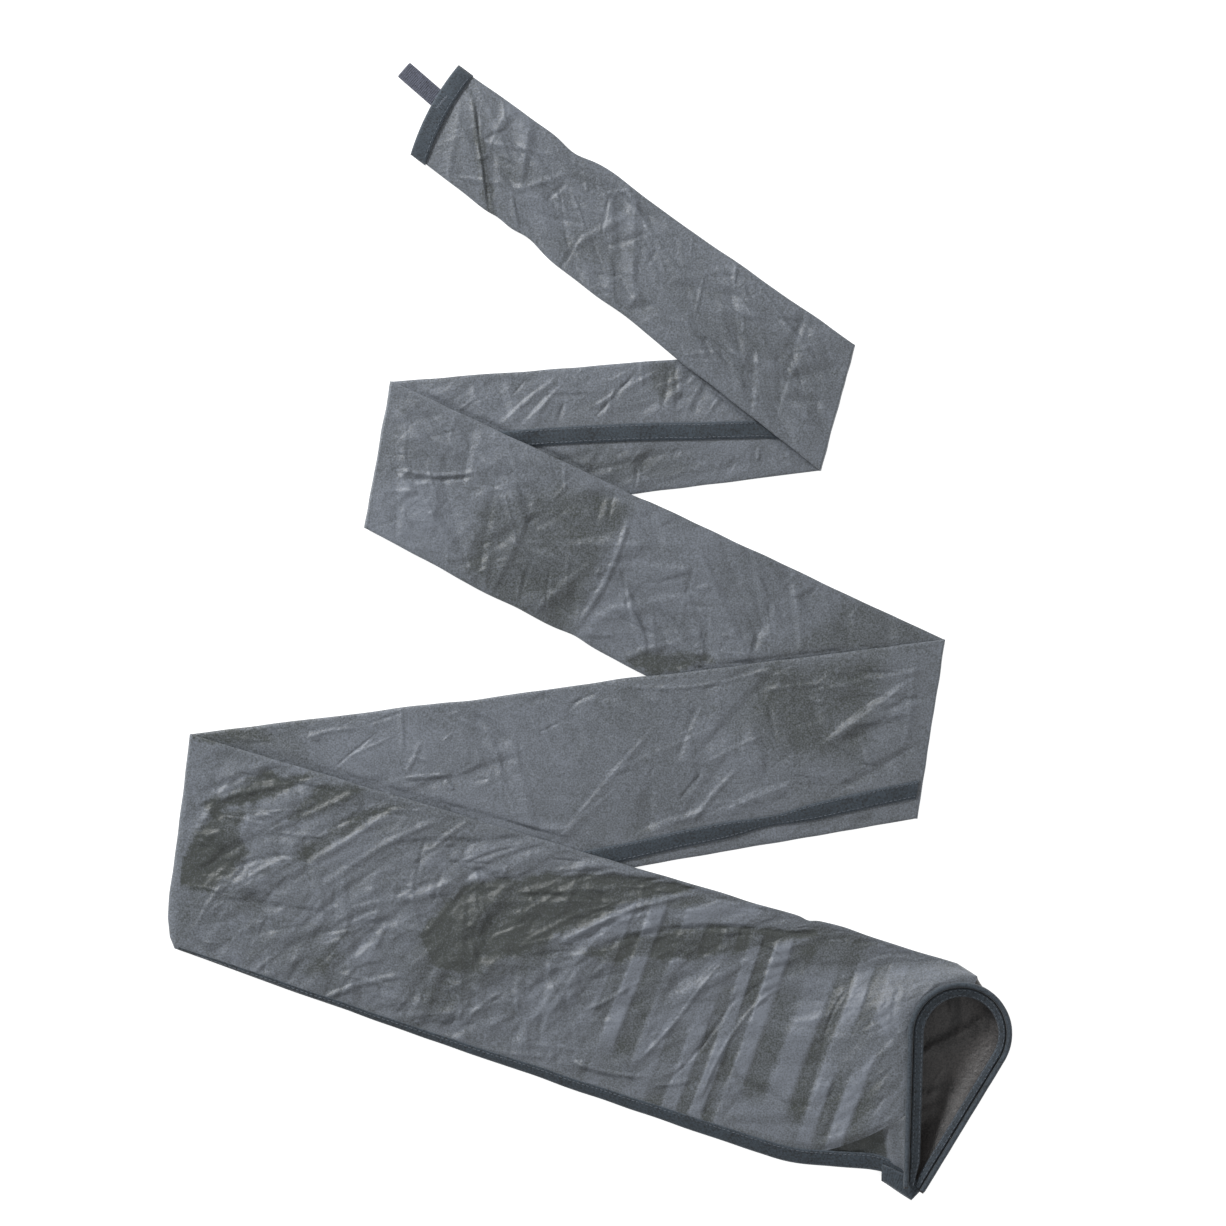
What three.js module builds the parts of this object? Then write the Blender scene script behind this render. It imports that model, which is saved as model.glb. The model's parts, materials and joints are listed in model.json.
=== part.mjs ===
// Storage sleeve for a rolled hammock or tarp: one long tapered fabric tube with a pull loop on its
// bound narrow end and a springy hoop in its mouth. It lies pressed flat and folded into a zigzag of
// five sections, each turned back over the one before it. Millimetres, +Z up, resting on Z = 0.
//
// Section 2 lies on the floor. Sections 1 and 3 fold over it, section 4 folds over 3 and section 5
// folds over 4. Each section is an upper and a lower layer of fabric with the flat bore between them.
import * as THREE from 'three';

// ---- The fabric tube, measured flat -------------------------------------------------------------
const NARROW_WIDTH = 63;
const WIDENING = 0.0478; // flat width gained for each millimetre of length
const SECTION_LENGTHS = [320.8, 299.5, 400.2, 491.1, 494.4];
// How far the near edge runs ahead of the far edge at the narrow end, the four creases and the mouth.
// The leads grow with the tube's width, which keeps the angles of the folds.
const LEADS_DRAWN_AT = 63;
const LEADS_DRAWN = [-15.9, -30.5, -26.9, -35.3, -31.1, 24.2];
const CROSSING_LEADS = LEADS_DRAWN.map((lead) => (lead * NARROW_WIDTH) / LEADS_DRAWN_AT);
const HEADING_DEG = -36.5; // direction of section 1, from the narrow end towards the first crease

// ---- Thicknesses and clearances -----------------------------------------------------------------
const LAYER = 0.8;
const BORE_GAP = 0.5;
const TAPE = 1.0;
const TAPE_GAP = 0.5;
const STACK_GAP = 0.5;
const CREASE_CLEARANCE = 1; // from a panel's end to the crease line it turns about
const PIECE_GAP = 0.4; // between pieces that are sewn to each other

// ---- How a section drapes off the one beneath it -------------------------------------------------
const DRAPE_START = 24; // flat run past the edge of the section beneath
const DRAPE_LENGTH = 76;
const PANEL_CELL_LENGTH = 22;
const PANEL_CELLS_ACROSS = 5;

// ---- Seam tape ------------------------------------------------------------------------------------
const TAPE_WIDTH = 12;
const FIN_WIDTH_AT_CREASE = 2.2; // the bound seam of section 5 is tucked under where it starts
const FIN_END = 0.93; // share of the far edge where the bound seam stops, short of the mouth's tip
// Where the seam runs across each flat section, from 0 at the near edge to 1 at the far edge.
const SEAM_TRACKS = [
  { side: 'under', from: 0.4, to: 0.67 },
  { side: 'over', from: 0.67, to: 0.47 },
  { side: 'under', from: 0.47, to: 0.83 },
  { side: 'over', from: 0.83, to: 0.95 },
];

// ---- Narrow end -----------------------------------------------------------------------------------
const BINDING_WALL = 0.8;
const BINDING_LENGTH = 12;
const BINDING_BULGE = 5; // how far the bound edge bows out past its two corners
const BINDING_STEPS = 8;

// ---- Pull loop ------------------------------------------------------------------------------------
const LOOP_WIDTH = 12;
const LOOP_LENGTH = 27;
const LOOP_PLY = 0.8;
const LOOP_EYE = 0.6;
const LOOP_PLACE = 0.4; // share of the bound edge, from the near edge
const LOOP_TURN_DEG = -4.5;
const LOOP_ROOT_GAP = 2.8; // room for the loop to swing up past the bowed binding
const BARTACK_LENGTH = 10;
const BARTACK_WIDTH = 2.4;
const BARTACK_HEIGHT = 0.5;

// ---- Mouth ----------------------------------------------------------------------------------------
const HOOP_RADIUS = 32.5;
const HOOP_REACH = 105; // from the centre of the round part to the pinched tip
const HOOP_AXIS_DEG = 73.4; // direction from the tip to the centre
const HOOP_TIP_PAST_MOUTH = 37; // how far the tip stands past the far corner of the mouth
const HOOP_TIP_INSET = 5.7; // how far it stands in from the line of the far edge
const TIP_HALF_WIDTH = 5.2; // half the distance between the two rod ends
const HOOP_STEPS = 52;
const HOOP_HEIGHT = 14.5;
const HOOP_TILT = 0.17; // rise for each millimetre towards the sleeve
const ROD_RADIUS = 1.5;
const ROD_SIDES = 8;
const BINDING_CLEARANCE = 0.3;
const HOOP_WALL = 0.9;
const HOOP_SLOT = 1.4; // width of the slot that the fabric edge is sewn into
const HOOP_SKIRT = 7; // from the rod's centre to the lower edge of the binding
const MOUTH_RISE = 110; // length over which the upper layer climbs to the hoop
const EDGE_RISE = 28; // length over which the folded edges and the floor layer climb to it
const MOUTH_CELL_LENGTH = 19;
const MOUTH_CELLS_ACROSS = 10;
const TAB_WIDTH = 16;
const TAB_LENGTH = 12;
const TAB_THICKNESS = 2.4;

// ---- Values that follow from those above ------------------------------------------------------------
const PACK = 2 * LAYER + BORE_GAP;
const TAPE_STEP = TAPE_GAP + TAPE;
const BINDING_STAND_OFF = BINDING_WALL + PIECE_GAP;
const EDGE_ANGLE = Math.atan(WIDENING / 2);
const MOUTH_CELLS_ALONG = Math.round(SECTION_LENGTHS[4] / MOUTH_CELL_LENGTH);

const FABRIC = { color: 0x74777d, roughness: 0.5, metalness: 0 };
const TAPE_CLOTH = { color: 0x3b424c, roughness: 0.75, metalness: 0 };
const WEBBING = { color: 0x444a56, roughness: 0.7, metalness: 0 };
const ROD = { color: 0xd8d8d4, roughness: 0.4, metalness: 0 };
const THREAD = { color: 0x30353e, roughness: 0.8, metalness: 0 };

/** Returns a smooth step from 0 to 1. */
function ease(value) {
  const t = Math.min(Math.max(value, 0), 1);
  return t * t * (3 - 2 * t);
}

/** Returns the value between two others at a share of the way. */
function mix(from, to, share) {
  return from + (to - from) * share;
}

/** Returns the plan direction at an angle in degrees. */
function direction(degrees) {
  const angle = THREE.MathUtils.degToRad(degrees);
  return new THREE.Vector2(Math.cos(angle), Math.sin(angle));
}

/** Returns a plan vector turned a quarter turn to the left. */
function leftOf(vector) {
  return new THREE.Vector2(-vector.y, vector.x);
}

/** Mirrors a plan point in the line through two others, as a fold does. */
function mirrored(point, a, b) {
  const normal = leftOf(b.clone().sub(a).normalize());
  const distance = point.clone().sub(a).dot(normal);
  return point.clone().addScaledVector(normal, -2 * distance);
}

/** Lays the unfolded tube out straight and returns the ends of each crossing line. */
function straightCrossings() {
  const along = direction(HEADING_DEG);
  const across = leftOf(along);
  let station = -CROSSING_LEADS[0] / 2;
  return CROSSING_LEADS.map((lead, index) => {
    if (index > 0) station += SECTION_LENGTHS[index - 1];
    const ends = [1, -1].map((side) => {
      const run = station + (side * lead) / 2;
      const reach = NARROW_WIDTH / 2 + run * Math.sin(EDGE_ANGLE);
      const place = along.clone().multiplyScalar(run * Math.cos(EDGE_ANGLE));
      return place.addScaledVector(across, side * reach);
    });
    return { near: ends[0], far: ends[1] };
  });
}

/** Folds the straight tube at each crease in turn. */
function foldedCrossings() {
  const crossings = straightCrossings();
  for (let crease = 1; crease < crossings.length - 1; crease += 1) {
    const { near, far } = crossings[crease];
    for (const later of crossings.slice(crease + 1)) {
      later.near = mirrored(later.near, near, far);
      later.far = mirrored(later.far, near, far);
    }
  }
  return crossings;
}

const CROSSINGS = foldedCrossings();

/** Returns the height of a section's lowest face where it lies on the floor. */
function floorHeight(index) {
  const track = SEAM_TRACKS[index];
  return track && track.side === 'under' ? TAPE_STEP : 0;
}

/** Returns the height of the top of a section that lies on the floor, with its tape. */
function topHeight(index) {
  const overTape = SEAM_TRACKS[index].side === 'over' ? TAPE_STEP : 0;
  return floorHeight(index) + PACK + overTape;
}

/** Describes the section that another one rests on, and the edge that it drapes over. */
function support(index) {
  if (index === 1) return null;
  const beneath = index === 0 ? 1 : index - 1;
  const edge = index === 0 ? 'near' : 'far';
  const start = CROSSINGS[beneath][edge];
  const end = CROSSINGS[beneath + 1][edge];
  const inward = CROSSINGS[beneath][edge === 'near' ? 'far' : 'near'].clone().sub(start);
  const outward = leftOf(end.clone().sub(start).normalize());
  if (outward.dot(inward) > 0) outward.negate();
  return { start, outward, height: topHeight(beneath) + STACK_GAP + floorHeight(index) };
}

/** Returns the height of the underside of a section's lower layer at a plan point. */
function baseHeight(index, point) {
  const beneath = support(index);
  const floor = floorHeight(index);
  if (!beneath) return floor;
  const past = point.clone().sub(beneath.start).dot(beneath.outward);
  return mix(beneath.height, floor, ease((past - DRAPE_START) / DRAPE_LENGTH));
}

/** Returns the flat width of a section at a share of its length. */
function flatWidth(index, share) {
  const start = CROSSINGS[index];
  const end = CROSSINGS[index + 1];
  return mix(start.near.distanceTo(start.far), end.near.distanceTo(end.far), share);
}

/** Returns the plan point of a section at shares of its length and of its width. */
function panelPoint(index, along, across) {
  const start = CROSSINGS[index].near.clone().lerp(CROSSINGS[index].far, across);
  const end = CROSSINGS[index + 1].near.clone().lerp(CROSSINGS[index + 1].far, across);
  const inset = CREASE_CLEARANCE / start.distanceTo(end);
  return start.clone().lerp(end, mix(inset, 1 - inset, along));
}

/** Turns a mesh's faces outward where its points were placed as a mirror image. */
function facingOut(geometry) {
  const index = geometry.index;
  const place = geometry.attributes.position;
  const corners = [new THREE.Vector3(), new THREE.Vector3(), new THREE.Vector3()];
  let volume = 0;
  for (let face = 0; face < index.count; face += 3) {
    corners.forEach((corner, turn) => corner.fromBufferAttribute(place, index.getX(face + turn)));
    volume += corners[0].dot(corners[1].clone().cross(corners[2]));
  }
  if (volume > 0) return geometry;
  for (let face = 0; face < index.count; face += 3) {
    const second = index.getX(face + 1);
    index.setX(face + 1, index.getX(face + 2));
    index.setX(face + 2, second);
  }
  return geometry;
}

/** Makes a closed sheet of cells and puts each of its points where the placing function says. */
function bentSheet(cellsAlong, cellsAcross, placeAt) {
  const geometry = new THREE.BoxGeometry(1, 1, 1, cellsAlong, cellsAcross, 1);
  const place = geometry.attributes.position;
  for (let i = 0; i < place.count; i += 1) {
    const spot = placeAt(place.getX(i) + 0.5, place.getY(i) + 0.5, place.getZ(i) + 0.5);
    place.setXYZ(i, spot.x, spot.y, spot.z);
  }
  return facingOut(geometry);
}

/** Makes a named mesh of one piece. */
function piece(name, geometry, finish) {
  const mesh = new THREE.Mesh(geometry, new THREE.MeshStandardMaterial(finish));
  mesh.name = name;
  return mesh;
}

/** Returns the number of cells along a section. */
function cellsAlong(index) {
  return index === 1 ? 1 : Math.ceil(SECTION_LENGTHS[index] / PANEL_CELL_LENGTH);
}

/** Makes one fabric layer of sections 1 to 4. */
function panelLayer(index, isUpper) {
  const lift = isUpper ? LAYER + BORE_GAP : 0;
  const across = index === 1 ? 1 : PANEL_CELLS_ACROSS;
  return bentSheet(cellsAlong(index), across, (u, v, w) => {
    const point = panelPoint(index, u, v);
    return new THREE.Vector3(point.x, point.y, baseHeight(index, point) + lift + w * LAYER);
  });
}

/** Makes the bound seam of sections 1 to 4, a strip that lies flat on the fabric. */
function seamTape(index) {
  const track = SEAM_TRACKS[index];
  const lift = track.side === 'under' ? -TAPE_STEP : PACK + TAPE_GAP;
  const start = index === 0 ? (BINDING_LENGTH + 2 * PIECE_GAP) / SECTION_LENGTHS[0] : 0;
  return bentSheet(cellsAlong(index), 1, (u, v, w) => {
    const along = mix(start, 1, u);
    const middle = mix(track.from, track.to, 1 - (1 - along) ** 2);
    const across = middle + ((v - 0.5) * TAPE_WIDTH) / flatWidth(index, along);
    const point = panelPoint(index, along, across);
    return new THREE.Vector3(point.x, point.y, baseHeight(index, point) + lift + w * TAPE);
  });
}

/** Describes the bound edge of the narrow end: its middle, and its directions in plan. */
function narrowEnd() {
  const { near, far } = CROSSINGS[0];
  const across = far.clone().sub(near).normalize();
  const inward = direction(HEADING_DEG);
  return { near, far, across, inward, width: near.distanceTo(far) };
}

/** Returns how far the bound edge bows outward at a share of its width. */
function bindingBow(share) {
  return BINDING_BULGE * (1 - (2 * share - 1) ** 2);
}

/** Traces a flat loop round the pressed tube: a long slot with round ends. */
function pressedLoop(halfWidth, halfHeight) {
  const points = [];
  for (let step = 0; step <= BINDING_STEPS; step += 1) {
    points.push(new THREE.Vector2(mix(-halfWidth, halfWidth, step / BINDING_STEPS), -halfHeight));
  }
  points.push(new THREE.Vector2(halfWidth + halfHeight * 0.7, 0));
  for (let step = BINDING_STEPS; step >= 0; step -= 1) {
    points.push(new THREE.Vector2(mix(-halfWidth, halfWidth, step / BINDING_STEPS), halfHeight));
  }
  points.push(new THREE.Vector2(-halfWidth - halfHeight * 0.7, 0));
  return points;
}

/** Makes the tape that wraps the narrow end of the tube. */
function narrowBinding() {
  const end = narrowEnd();
  const innerHalf = PACK / 2 + PIECE_GAP;
  const halfWidth = end.width / 2 + PIECE_GAP;
  const outline = new THREE.Shape(pressedLoop(halfWidth, innerHalf + BINDING_WALL));
  outline.holes.push(new THREE.Path(pressedLoop(halfWidth, innerHalf)));
  const geometry = new THREE.ExtrudeGeometry(outline, { depth: 1, steps: 1, bevelEnabled: false });
  const place = geometry.attributes.position;
  const middleHeight = floorHeight(0) + PACK / 2;
  for (let i = 0; i < place.count; i += 1) {
    const share = Math.min(Math.max(place.getX(i) / end.width + 0.5, 0), 1);
    const outer = -bindingBow(share);
    const run = mix(outer, BINDING_LENGTH, place.getZ(i));
    const spot = end.near.clone().addScaledVector(end.across, place.getX(i) + end.width / 2);
    spot.addScaledVector(end.inward, run);
    place.setXYZ(i, spot.x, spot.y, middleHeight + place.getY(i));
  }
  geometry.setIndex([...Array(place.count).keys()]);
  return facingOut(geometry);
}

/** Traces the pull loop from the side: two plies joined by a round turn. */
function loopOutline() {
  const inner = LOOP_EYE / 2;
  const outer = inner + LOOP_PLY;
  const turn = LOOP_LENGTH - outer;
  const outline = new THREE.Shape();
  outline.moveTo(0, -outer);
  outline.lineTo(turn, -outer);
  outline.absarc(turn, 0, outer, -Math.PI / 2, Math.PI / 2, false);
  outline.lineTo(0, outer);
  outline.lineTo(0, inner);
  outline.lineTo(turn, inner);
  outline.absarc(turn, 0, inner, Math.PI / 2, -Math.PI / 2, true);
  outline.lineTo(0, -inner);
  return outline;
}

/** Makes the folded webbing loop that stands out of the bound edge. */
function pullLoop() {
  const end = narrowEnd();
  const settings = { depth: LOOP_WIDTH, bevelEnabled: false, curveSegments: 4 };
  const mesh = piece('pull_loop', new THREE.ExtrudeGeometry(loopOutline(), settings), WEBBING);
  const outward = direction(HEADING_DEG + 180 + LOOP_TURN_DEG);
  const across = leftOf(outward);
  const root = end.near.clone().lerp(end.far, LOOP_PLACE);
  root.addScaledVector(outward, bindingBow(LOOP_PLACE) + LOOP_ROOT_GAP);
  root.addScaledVector(across, LOOP_WIDTH / 2);
  const middleHeight = floorHeight(0) + PACK / 2;
  const basis = new THREE.Matrix4().makeBasis(
    new THREE.Vector3(outward.x, outward.y, 0),
    new THREE.Vector3(0, 0, 1),
    new THREE.Vector3(-across.x, -across.y, 0),
  );
  mesh.quaternion.setFromRotationMatrix(basis);
  mesh.position.set(root.x, root.y, middleHeight);
  return mesh;
}

/** Makes the dense row of stitches that holds the pull loop to the binding. */
function loopBartack() {
  const end = narrowEnd();
  const settings = [BARTACK_LENGTH, BARTACK_WIDTH, BARTACK_HEIGHT];
  const mesh = piece('loop_bartack', new THREE.BoxGeometry(...settings), THREAD);
  const spot = end.near.clone().lerp(end.far, LOOP_PLACE).addScaledVector(end.inward, 1);
  const top = floorHeight(0) + PACK + BINDING_STAND_OFF;
  mesh.position.set(spot.x, spot.y, top + PIECE_GAP + BARTACK_HEIGHT / 2);
  mesh.rotation.z = Math.atan2(end.across.y, end.across.x);
  return mesh;
}

/** Describes where the hoop lies in plan: its tip, its centre and its directions. */
function hoopPlan() {
  const axis = direction(HOOP_AXIS_DEG);
  const side = leftOf(axis);
  const last = CROSSINGS[CROSSINGS.length - 1];
  const along = last.far.clone().sub(CROSSINGS[CROSSINGS.length - 2].far).normalize();
  const tip = last.far.clone().addScaledVector(along, HOOP_TIP_PAST_MOUTH);
  tip.addScaledVector(leftOf(along), HOOP_TIP_INSET);
  const centre = tip.clone().addScaledVector(axis, HOOP_REACH);
  return { axis, side, tip, centre };
}

const HOOP = hoopPlan();

/** Returns the height of the rod's centre line above a plan point. */
function hoopHeight(point) {
  return HOOP_HEIGHT + HOOP_TILT * point.clone().sub(HOOP.centre).dot(HOOP.side);
}

/** Returns a point of the hoop, from 0 at one rod end, over the round part, to 1 at the other. */
function hoopPoint(share) {
  const reach = HOOP_REACH / HOOP_RADIUS;
  const turn = Math.PI - Math.acos(1 / reach);
  const flank = Math.sqrt(HOOP_REACH ** 2 - HOOP_RADIUS ** 2);
  const whole = 2 * flank + 2 * turn * HOOP_RADIUS;
  const fromMiddle = (share - 0.5) * whole;
  const bend = Math.abs(fromMiddle) / HOOP_RADIUS;
  const hand = fromMiddle < 0 ? 1 : -1;
  let out = HOOP_RADIUS * Math.sin(bend);
  let up = HOOP_RADIUS * Math.cos(bend);
  if (bend > turn) {
    const left = 1 - (bend - turn) * HOOP_RADIUS / flank;
    const foot = { out: HOOP_RADIUS * Math.sin(turn), up: HOOP_RADIUS * Math.cos(turn) };
    out = mix(TIP_HALF_WIDTH, foot.out, left);
    up = mix(-HOOP_REACH, foot.up, left);
  }
  const point = HOOP.centre.clone().addScaledVector(HOOP.axis, up);
  return point.addScaledVector(HOOP.side, hand * out);
}

/** Returns the hoop's centre line as a curve in space. */
function hoopCurve() {
  const points = [];
  for (let step = 0; step <= HOOP_STEPS; step += 1) {
    const point = hoopPoint(step / HOOP_STEPS);
    points.push(new THREE.Vector3(point.x, point.y, hoopHeight(point)));
  }
  return new THREE.CatmullRomCurve3(points);
}

/** Sweeps an outline along the hoop. The outline's x runs down and its y runs to the side. */
function hoopSweep(outline) {
  const settings = { steps: HOOP_STEPS, extrudePath: hoopCurve(), bevelEnabled: false };
  const geometry = new THREE.ExtrudeGeometry(outline, { ...settings, curveSegments: 6 });
  geometry.setIndex([...Array(geometry.attributes.position.count).keys()]);
  return facingOut(geometry);
}

/** Makes the springy rod that holds the mouth open. */
function hoopRod() {
  const points = [];
  for (let side = 0; side < ROD_SIDES; side += 1) {
    const angle = (2 * Math.PI * side) / ROD_SIDES;
    points.push(new THREE.Vector2(ROD_RADIUS * Math.cos(angle), ROD_RADIUS * Math.sin(angle)));
  }
  return hoopSweep(new THREE.Shape(points));
}

/** Makes the binding that wraps the rod and runs down on both sides of the fabric's edge. */
function mouthBinding() {
  const inner = ROD_RADIUS + BINDING_CLEARANCE;
  const outer = inner + HOOP_WALL;
  const slot = HOOP_SLOT / 2;
  const skirt = slot + HOOP_WALL;
  const outerAngle = Math.asin(skirt / outer);
  const innerAngle = Math.asin(slot / inner);
  const outline = new THREE.Shape();
  outline.moveTo(HOOP_SKIRT, skirt);
  outline.absarc(0, 0, outer, outerAngle, 2 * Math.PI - outerAngle, false);
  outline.lineTo(HOOP_SKIRT, -skirt);
  outline.lineTo(HOOP_SKIRT, -slot);
  outline.absarc(0, 0, inner, 2 * Math.PI - innerAngle, innerAngle, true);
  outline.lineTo(HOOP_SKIRT, slot);
  return hoopSweep(outline);
}

/** Returns the height that a layer's top reaches where it meets the binding at a hoop point. */
function landingHeight(point, isUpper) {
  const below = isUpper ? 0 : LAYER + BORE_GAP;
  return hoopHeight(point) - HOOP_SKIRT - 2 * PIECE_GAP - below;
}

/** Describes the far edge of section 5, from its crease to the tip of the mouth. */
function farEdge() {
  const start = CROSSINGS[CROSSINGS.length - 2].far;
  const along = HOOP.tip.clone().sub(start);
  const length = along.length();
  along.normalize();
  return { start, along, length, inward: leftOf(along) };
}

/** Returns the width that shows of the bound seam at a share of the far edge. */
function finWidth(share) {
  return mix(FIN_WIDTH_AT_CREASE, TAPE_WIDTH, share);
}

/** Returns how far the fabric stands in from the far edge to leave room for the bound seam. */
function farInset(share) {
  const closing = ease((share - FIN_END) / (1 - FIN_END));
  return (finWidth(share) + 2 * PIECE_GAP) * (1 - closing);
}

/** Makes one layer of section 5: it ends on one side of the hoop and climbs to its binding. */
function mouthLayer(isUpper) {
  const index = SECTION_LENGTHS.length - 1;
  const lift = isUpper ? LAYER + BORE_GAP : 0;
  const crease = CROSSINGS[index];
  const { inward } = farEdge();
  return bentSheet(MOUTH_CELLS_ALONG, MOUTH_CELLS_ACROSS, (u, v, w) => {
    const end = hoopPoint(isUpper ? 0.5 - v / 2 : 0.5 + v / 2);
    const start = crease.near.clone().lerp(crease.far, v);
    const length = start.distanceTo(end);
    const point = start.clone().lerp(end, mix(CREASE_CLEARANCE / length, 1, u));
    point.addScaledVector(inward, v * farInset(u));
    const flat = baseHeight(index, point) + lift;
    const reach = isUpper ? mix(EDGE_RISE, MOUTH_RISE, Math.sin(Math.PI * v)) : EDGE_RISE;
    const climb = ease(1 - ((1 - u) * length) / reach);
    const landing = Math.max(landingHeight(end, isUpper) - LAYER, flat);
    return new THREE.Vector3(point.x, point.y, mix(flat, landing, climb) + w * LAYER);
  });
}

/** Makes the bound seam of section 5, a flat fin along the far edge. */
function edgeFin() {
  const index = SECTION_LENGTHS.length - 1;
  const edge = farEdge();
  const from = (4 * CREASE_CLEARANCE) / edge.length;
  return bentSheet(MOUTH_CELLS_ALONG, 1, (u, v, w) => {
    const share = mix(from, FIN_END, u);
    const point = edge.start.clone().addScaledVector(edge.along, share * edge.length);
    point.addScaledVector(edge.inward, v * finWidth(share));
    const height = baseHeight(index, point) + (PACK - TAPE) / 2;
    return new THREE.Vector3(point.x, point.y, height + w * TAPE);
  });
}

/** Makes the folded tape end that closes the hoop's tip. */
function mouthTab() {
  const mesh = piece('mouth_tab', new THREE.BoxGeometry(TAB_WIDTH, TAB_LENGTH, TAB_THICKNESS), TAPE_CLOTH);
  const spot = HOOP.tip.clone().addScaledVector(HOOP.axis, -TAB_LENGTH / 2 - 2 * PIECE_GAP);
  mesh.position.set(spot.x, spot.y, HOOP_HEIGHT - HOOP_SKIRT);
  mesh.rotation.z = Math.atan2(HOOP.axis.y, HOOP.axis.x) - Math.PI / 2;
  return mesh;
}

/** Puts the model's origin on the floor under the middle of its plan. */
function centred(group) {
  group.updateMatrixWorld(true);
  const box = new THREE.Box3().setFromObject(group, true);
  const middle = box.getCenter(new THREE.Vector3());
  group.position.set(-middle.x, -middle.y, -box.min.z);
  return group;
}

const group = new THREE.Group();
for (let index = 0; index < SECTION_LENGTHS.length - 1; index += 1) {
  group.add(piece(`sleeve_${index + 1}_lower`, panelLayer(index, false), FABRIC));
  group.add(piece(`sleeve_${index + 1}_upper`, panelLayer(index, true), FABRIC));
  group.add(piece(`seam_tape_${index + 1}`, seamTape(index), TAPE_CLOTH));
}
group.add(piece('sleeve_5_lower', mouthLayer(false), FABRIC));
group.add(piece('sleeve_5_upper', mouthLayer(true), FABRIC));
group.add(piece('seam_tape_5', edgeFin(), TAPE_CLOTH));
group.add(piece('narrow_end_binding', narrowBinding(), TAPE_CLOTH));
group.add(pullLoop());
group.add(loopBartack());
group.add(piece('hoop_rod', hoopRod(), ROD));
group.add(piece('mouth_binding', mouthBinding(), TAPE_CLOTH));
group.add(mouthTab());
centred(group);

export default group;
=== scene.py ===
"""Looks of a tapered hammock sleeve, folded in a zigzag.

It is made of crinkled coated fabric, with taped seams, a bound narrow end with a pull loop,
and a mouth held open by a hoop.
"""

import json
import logging
import math
from dataclasses import dataclass, field
from enum import Enum

import bpy
import numpy as np
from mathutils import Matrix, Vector


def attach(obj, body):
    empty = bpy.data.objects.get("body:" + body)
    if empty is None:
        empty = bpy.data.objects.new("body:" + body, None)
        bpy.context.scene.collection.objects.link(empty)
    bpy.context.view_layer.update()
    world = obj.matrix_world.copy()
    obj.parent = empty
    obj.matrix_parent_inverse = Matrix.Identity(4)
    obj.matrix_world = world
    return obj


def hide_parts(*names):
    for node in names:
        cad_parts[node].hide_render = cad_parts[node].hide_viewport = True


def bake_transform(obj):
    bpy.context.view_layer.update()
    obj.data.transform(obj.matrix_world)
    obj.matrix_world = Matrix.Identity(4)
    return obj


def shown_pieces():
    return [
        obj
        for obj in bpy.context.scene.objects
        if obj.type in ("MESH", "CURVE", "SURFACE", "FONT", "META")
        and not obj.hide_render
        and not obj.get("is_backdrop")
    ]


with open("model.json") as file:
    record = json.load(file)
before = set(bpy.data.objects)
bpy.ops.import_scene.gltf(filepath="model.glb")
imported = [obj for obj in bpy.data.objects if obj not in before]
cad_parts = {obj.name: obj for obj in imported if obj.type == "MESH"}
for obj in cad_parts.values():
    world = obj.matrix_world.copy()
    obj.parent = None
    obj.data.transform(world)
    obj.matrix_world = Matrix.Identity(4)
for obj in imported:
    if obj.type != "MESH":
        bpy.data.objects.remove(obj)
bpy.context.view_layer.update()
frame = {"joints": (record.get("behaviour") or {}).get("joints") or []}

LOG = logging.getLogger("sleeve")
MM = 0.001
Array = np.ndarray


# ---- Small helpers -------------------------------------------------------------------------------


def ease(value: Array) -> Array:
    """Returns a smooth step from 0 to 1."""
    t = np.clip(value, 0.0, 1.0)
    return t * t * (3.0 - 2.0 * t)


def mix(start: Array, end: Array, share: Array) -> Array:
    """Returns the value between two others at a share of the way."""
    return start + (end - start) * share


def unit(vector: Array) -> Array:
    """Returns a vector scaled to length one."""
    return vector / np.linalg.norm(vector)


def left_of(vector: Array) -> Array:
    """Returns a plan vector turned a quarter turn to the left."""
    return np.array([-vector[1], vector[0]])


def heading(degrees: float) -> Array:
    """Returns the plan direction at an angle in degrees."""
    return np.array([math.cos(math.radians(degrees)), math.sin(math.radians(degrees))])


def hinge_place(name: str) -> list[float]:
    """Returns where a joint of the frame stands at rest, in metres."""
    return next(joint["pos_m"] for joint in frame["joints"] if joint["name"] == name)


def wavy(x: Array, y: Array, seed: int, size: float) -> Array:
    """Returns smooth gradient noise from about -1 to 1.

    Args:
        x: First coordinates, in millimetres.
        y: Second coordinates, in millimetres.
        seed: Chooses the pattern.
        size: Width of one swell, in millimetres.

    Returns:
        One value for each point.
    """
    turns = np.random.RandomState(seed).uniform(0.0, 2.0 * math.pi, (64, 64))
    gx, gy = x / size + 97.3, y / size + 53.7
    ix, iy = np.floor(gx).astype(int), np.floor(gy).astype(int)
    fx, fy = gx - ix, gy - iy

    def corner(dx: int, dy: int) -> Array:
        """Returns the pull of one lattice corner."""
        turn = turns[(ix + dx) % 64, (iy + dy) % 64]
        return np.cos(turn) * (fx - dx) + np.sin(turn) * (fy - dy)

    sx = fx * fx * fx * (fx * (fx * 6.0 - 15.0) + 10.0)
    sy = fy * fy * fy * (fy * (fy * 6.0 - 15.0) + 10.0)
    low = mix(corner(0, 0), corner(1, 0), sx)
    high = mix(corner(0, 1), corner(1, 1), sx)
    return 1.5 * mix(low, high, sy)


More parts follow.
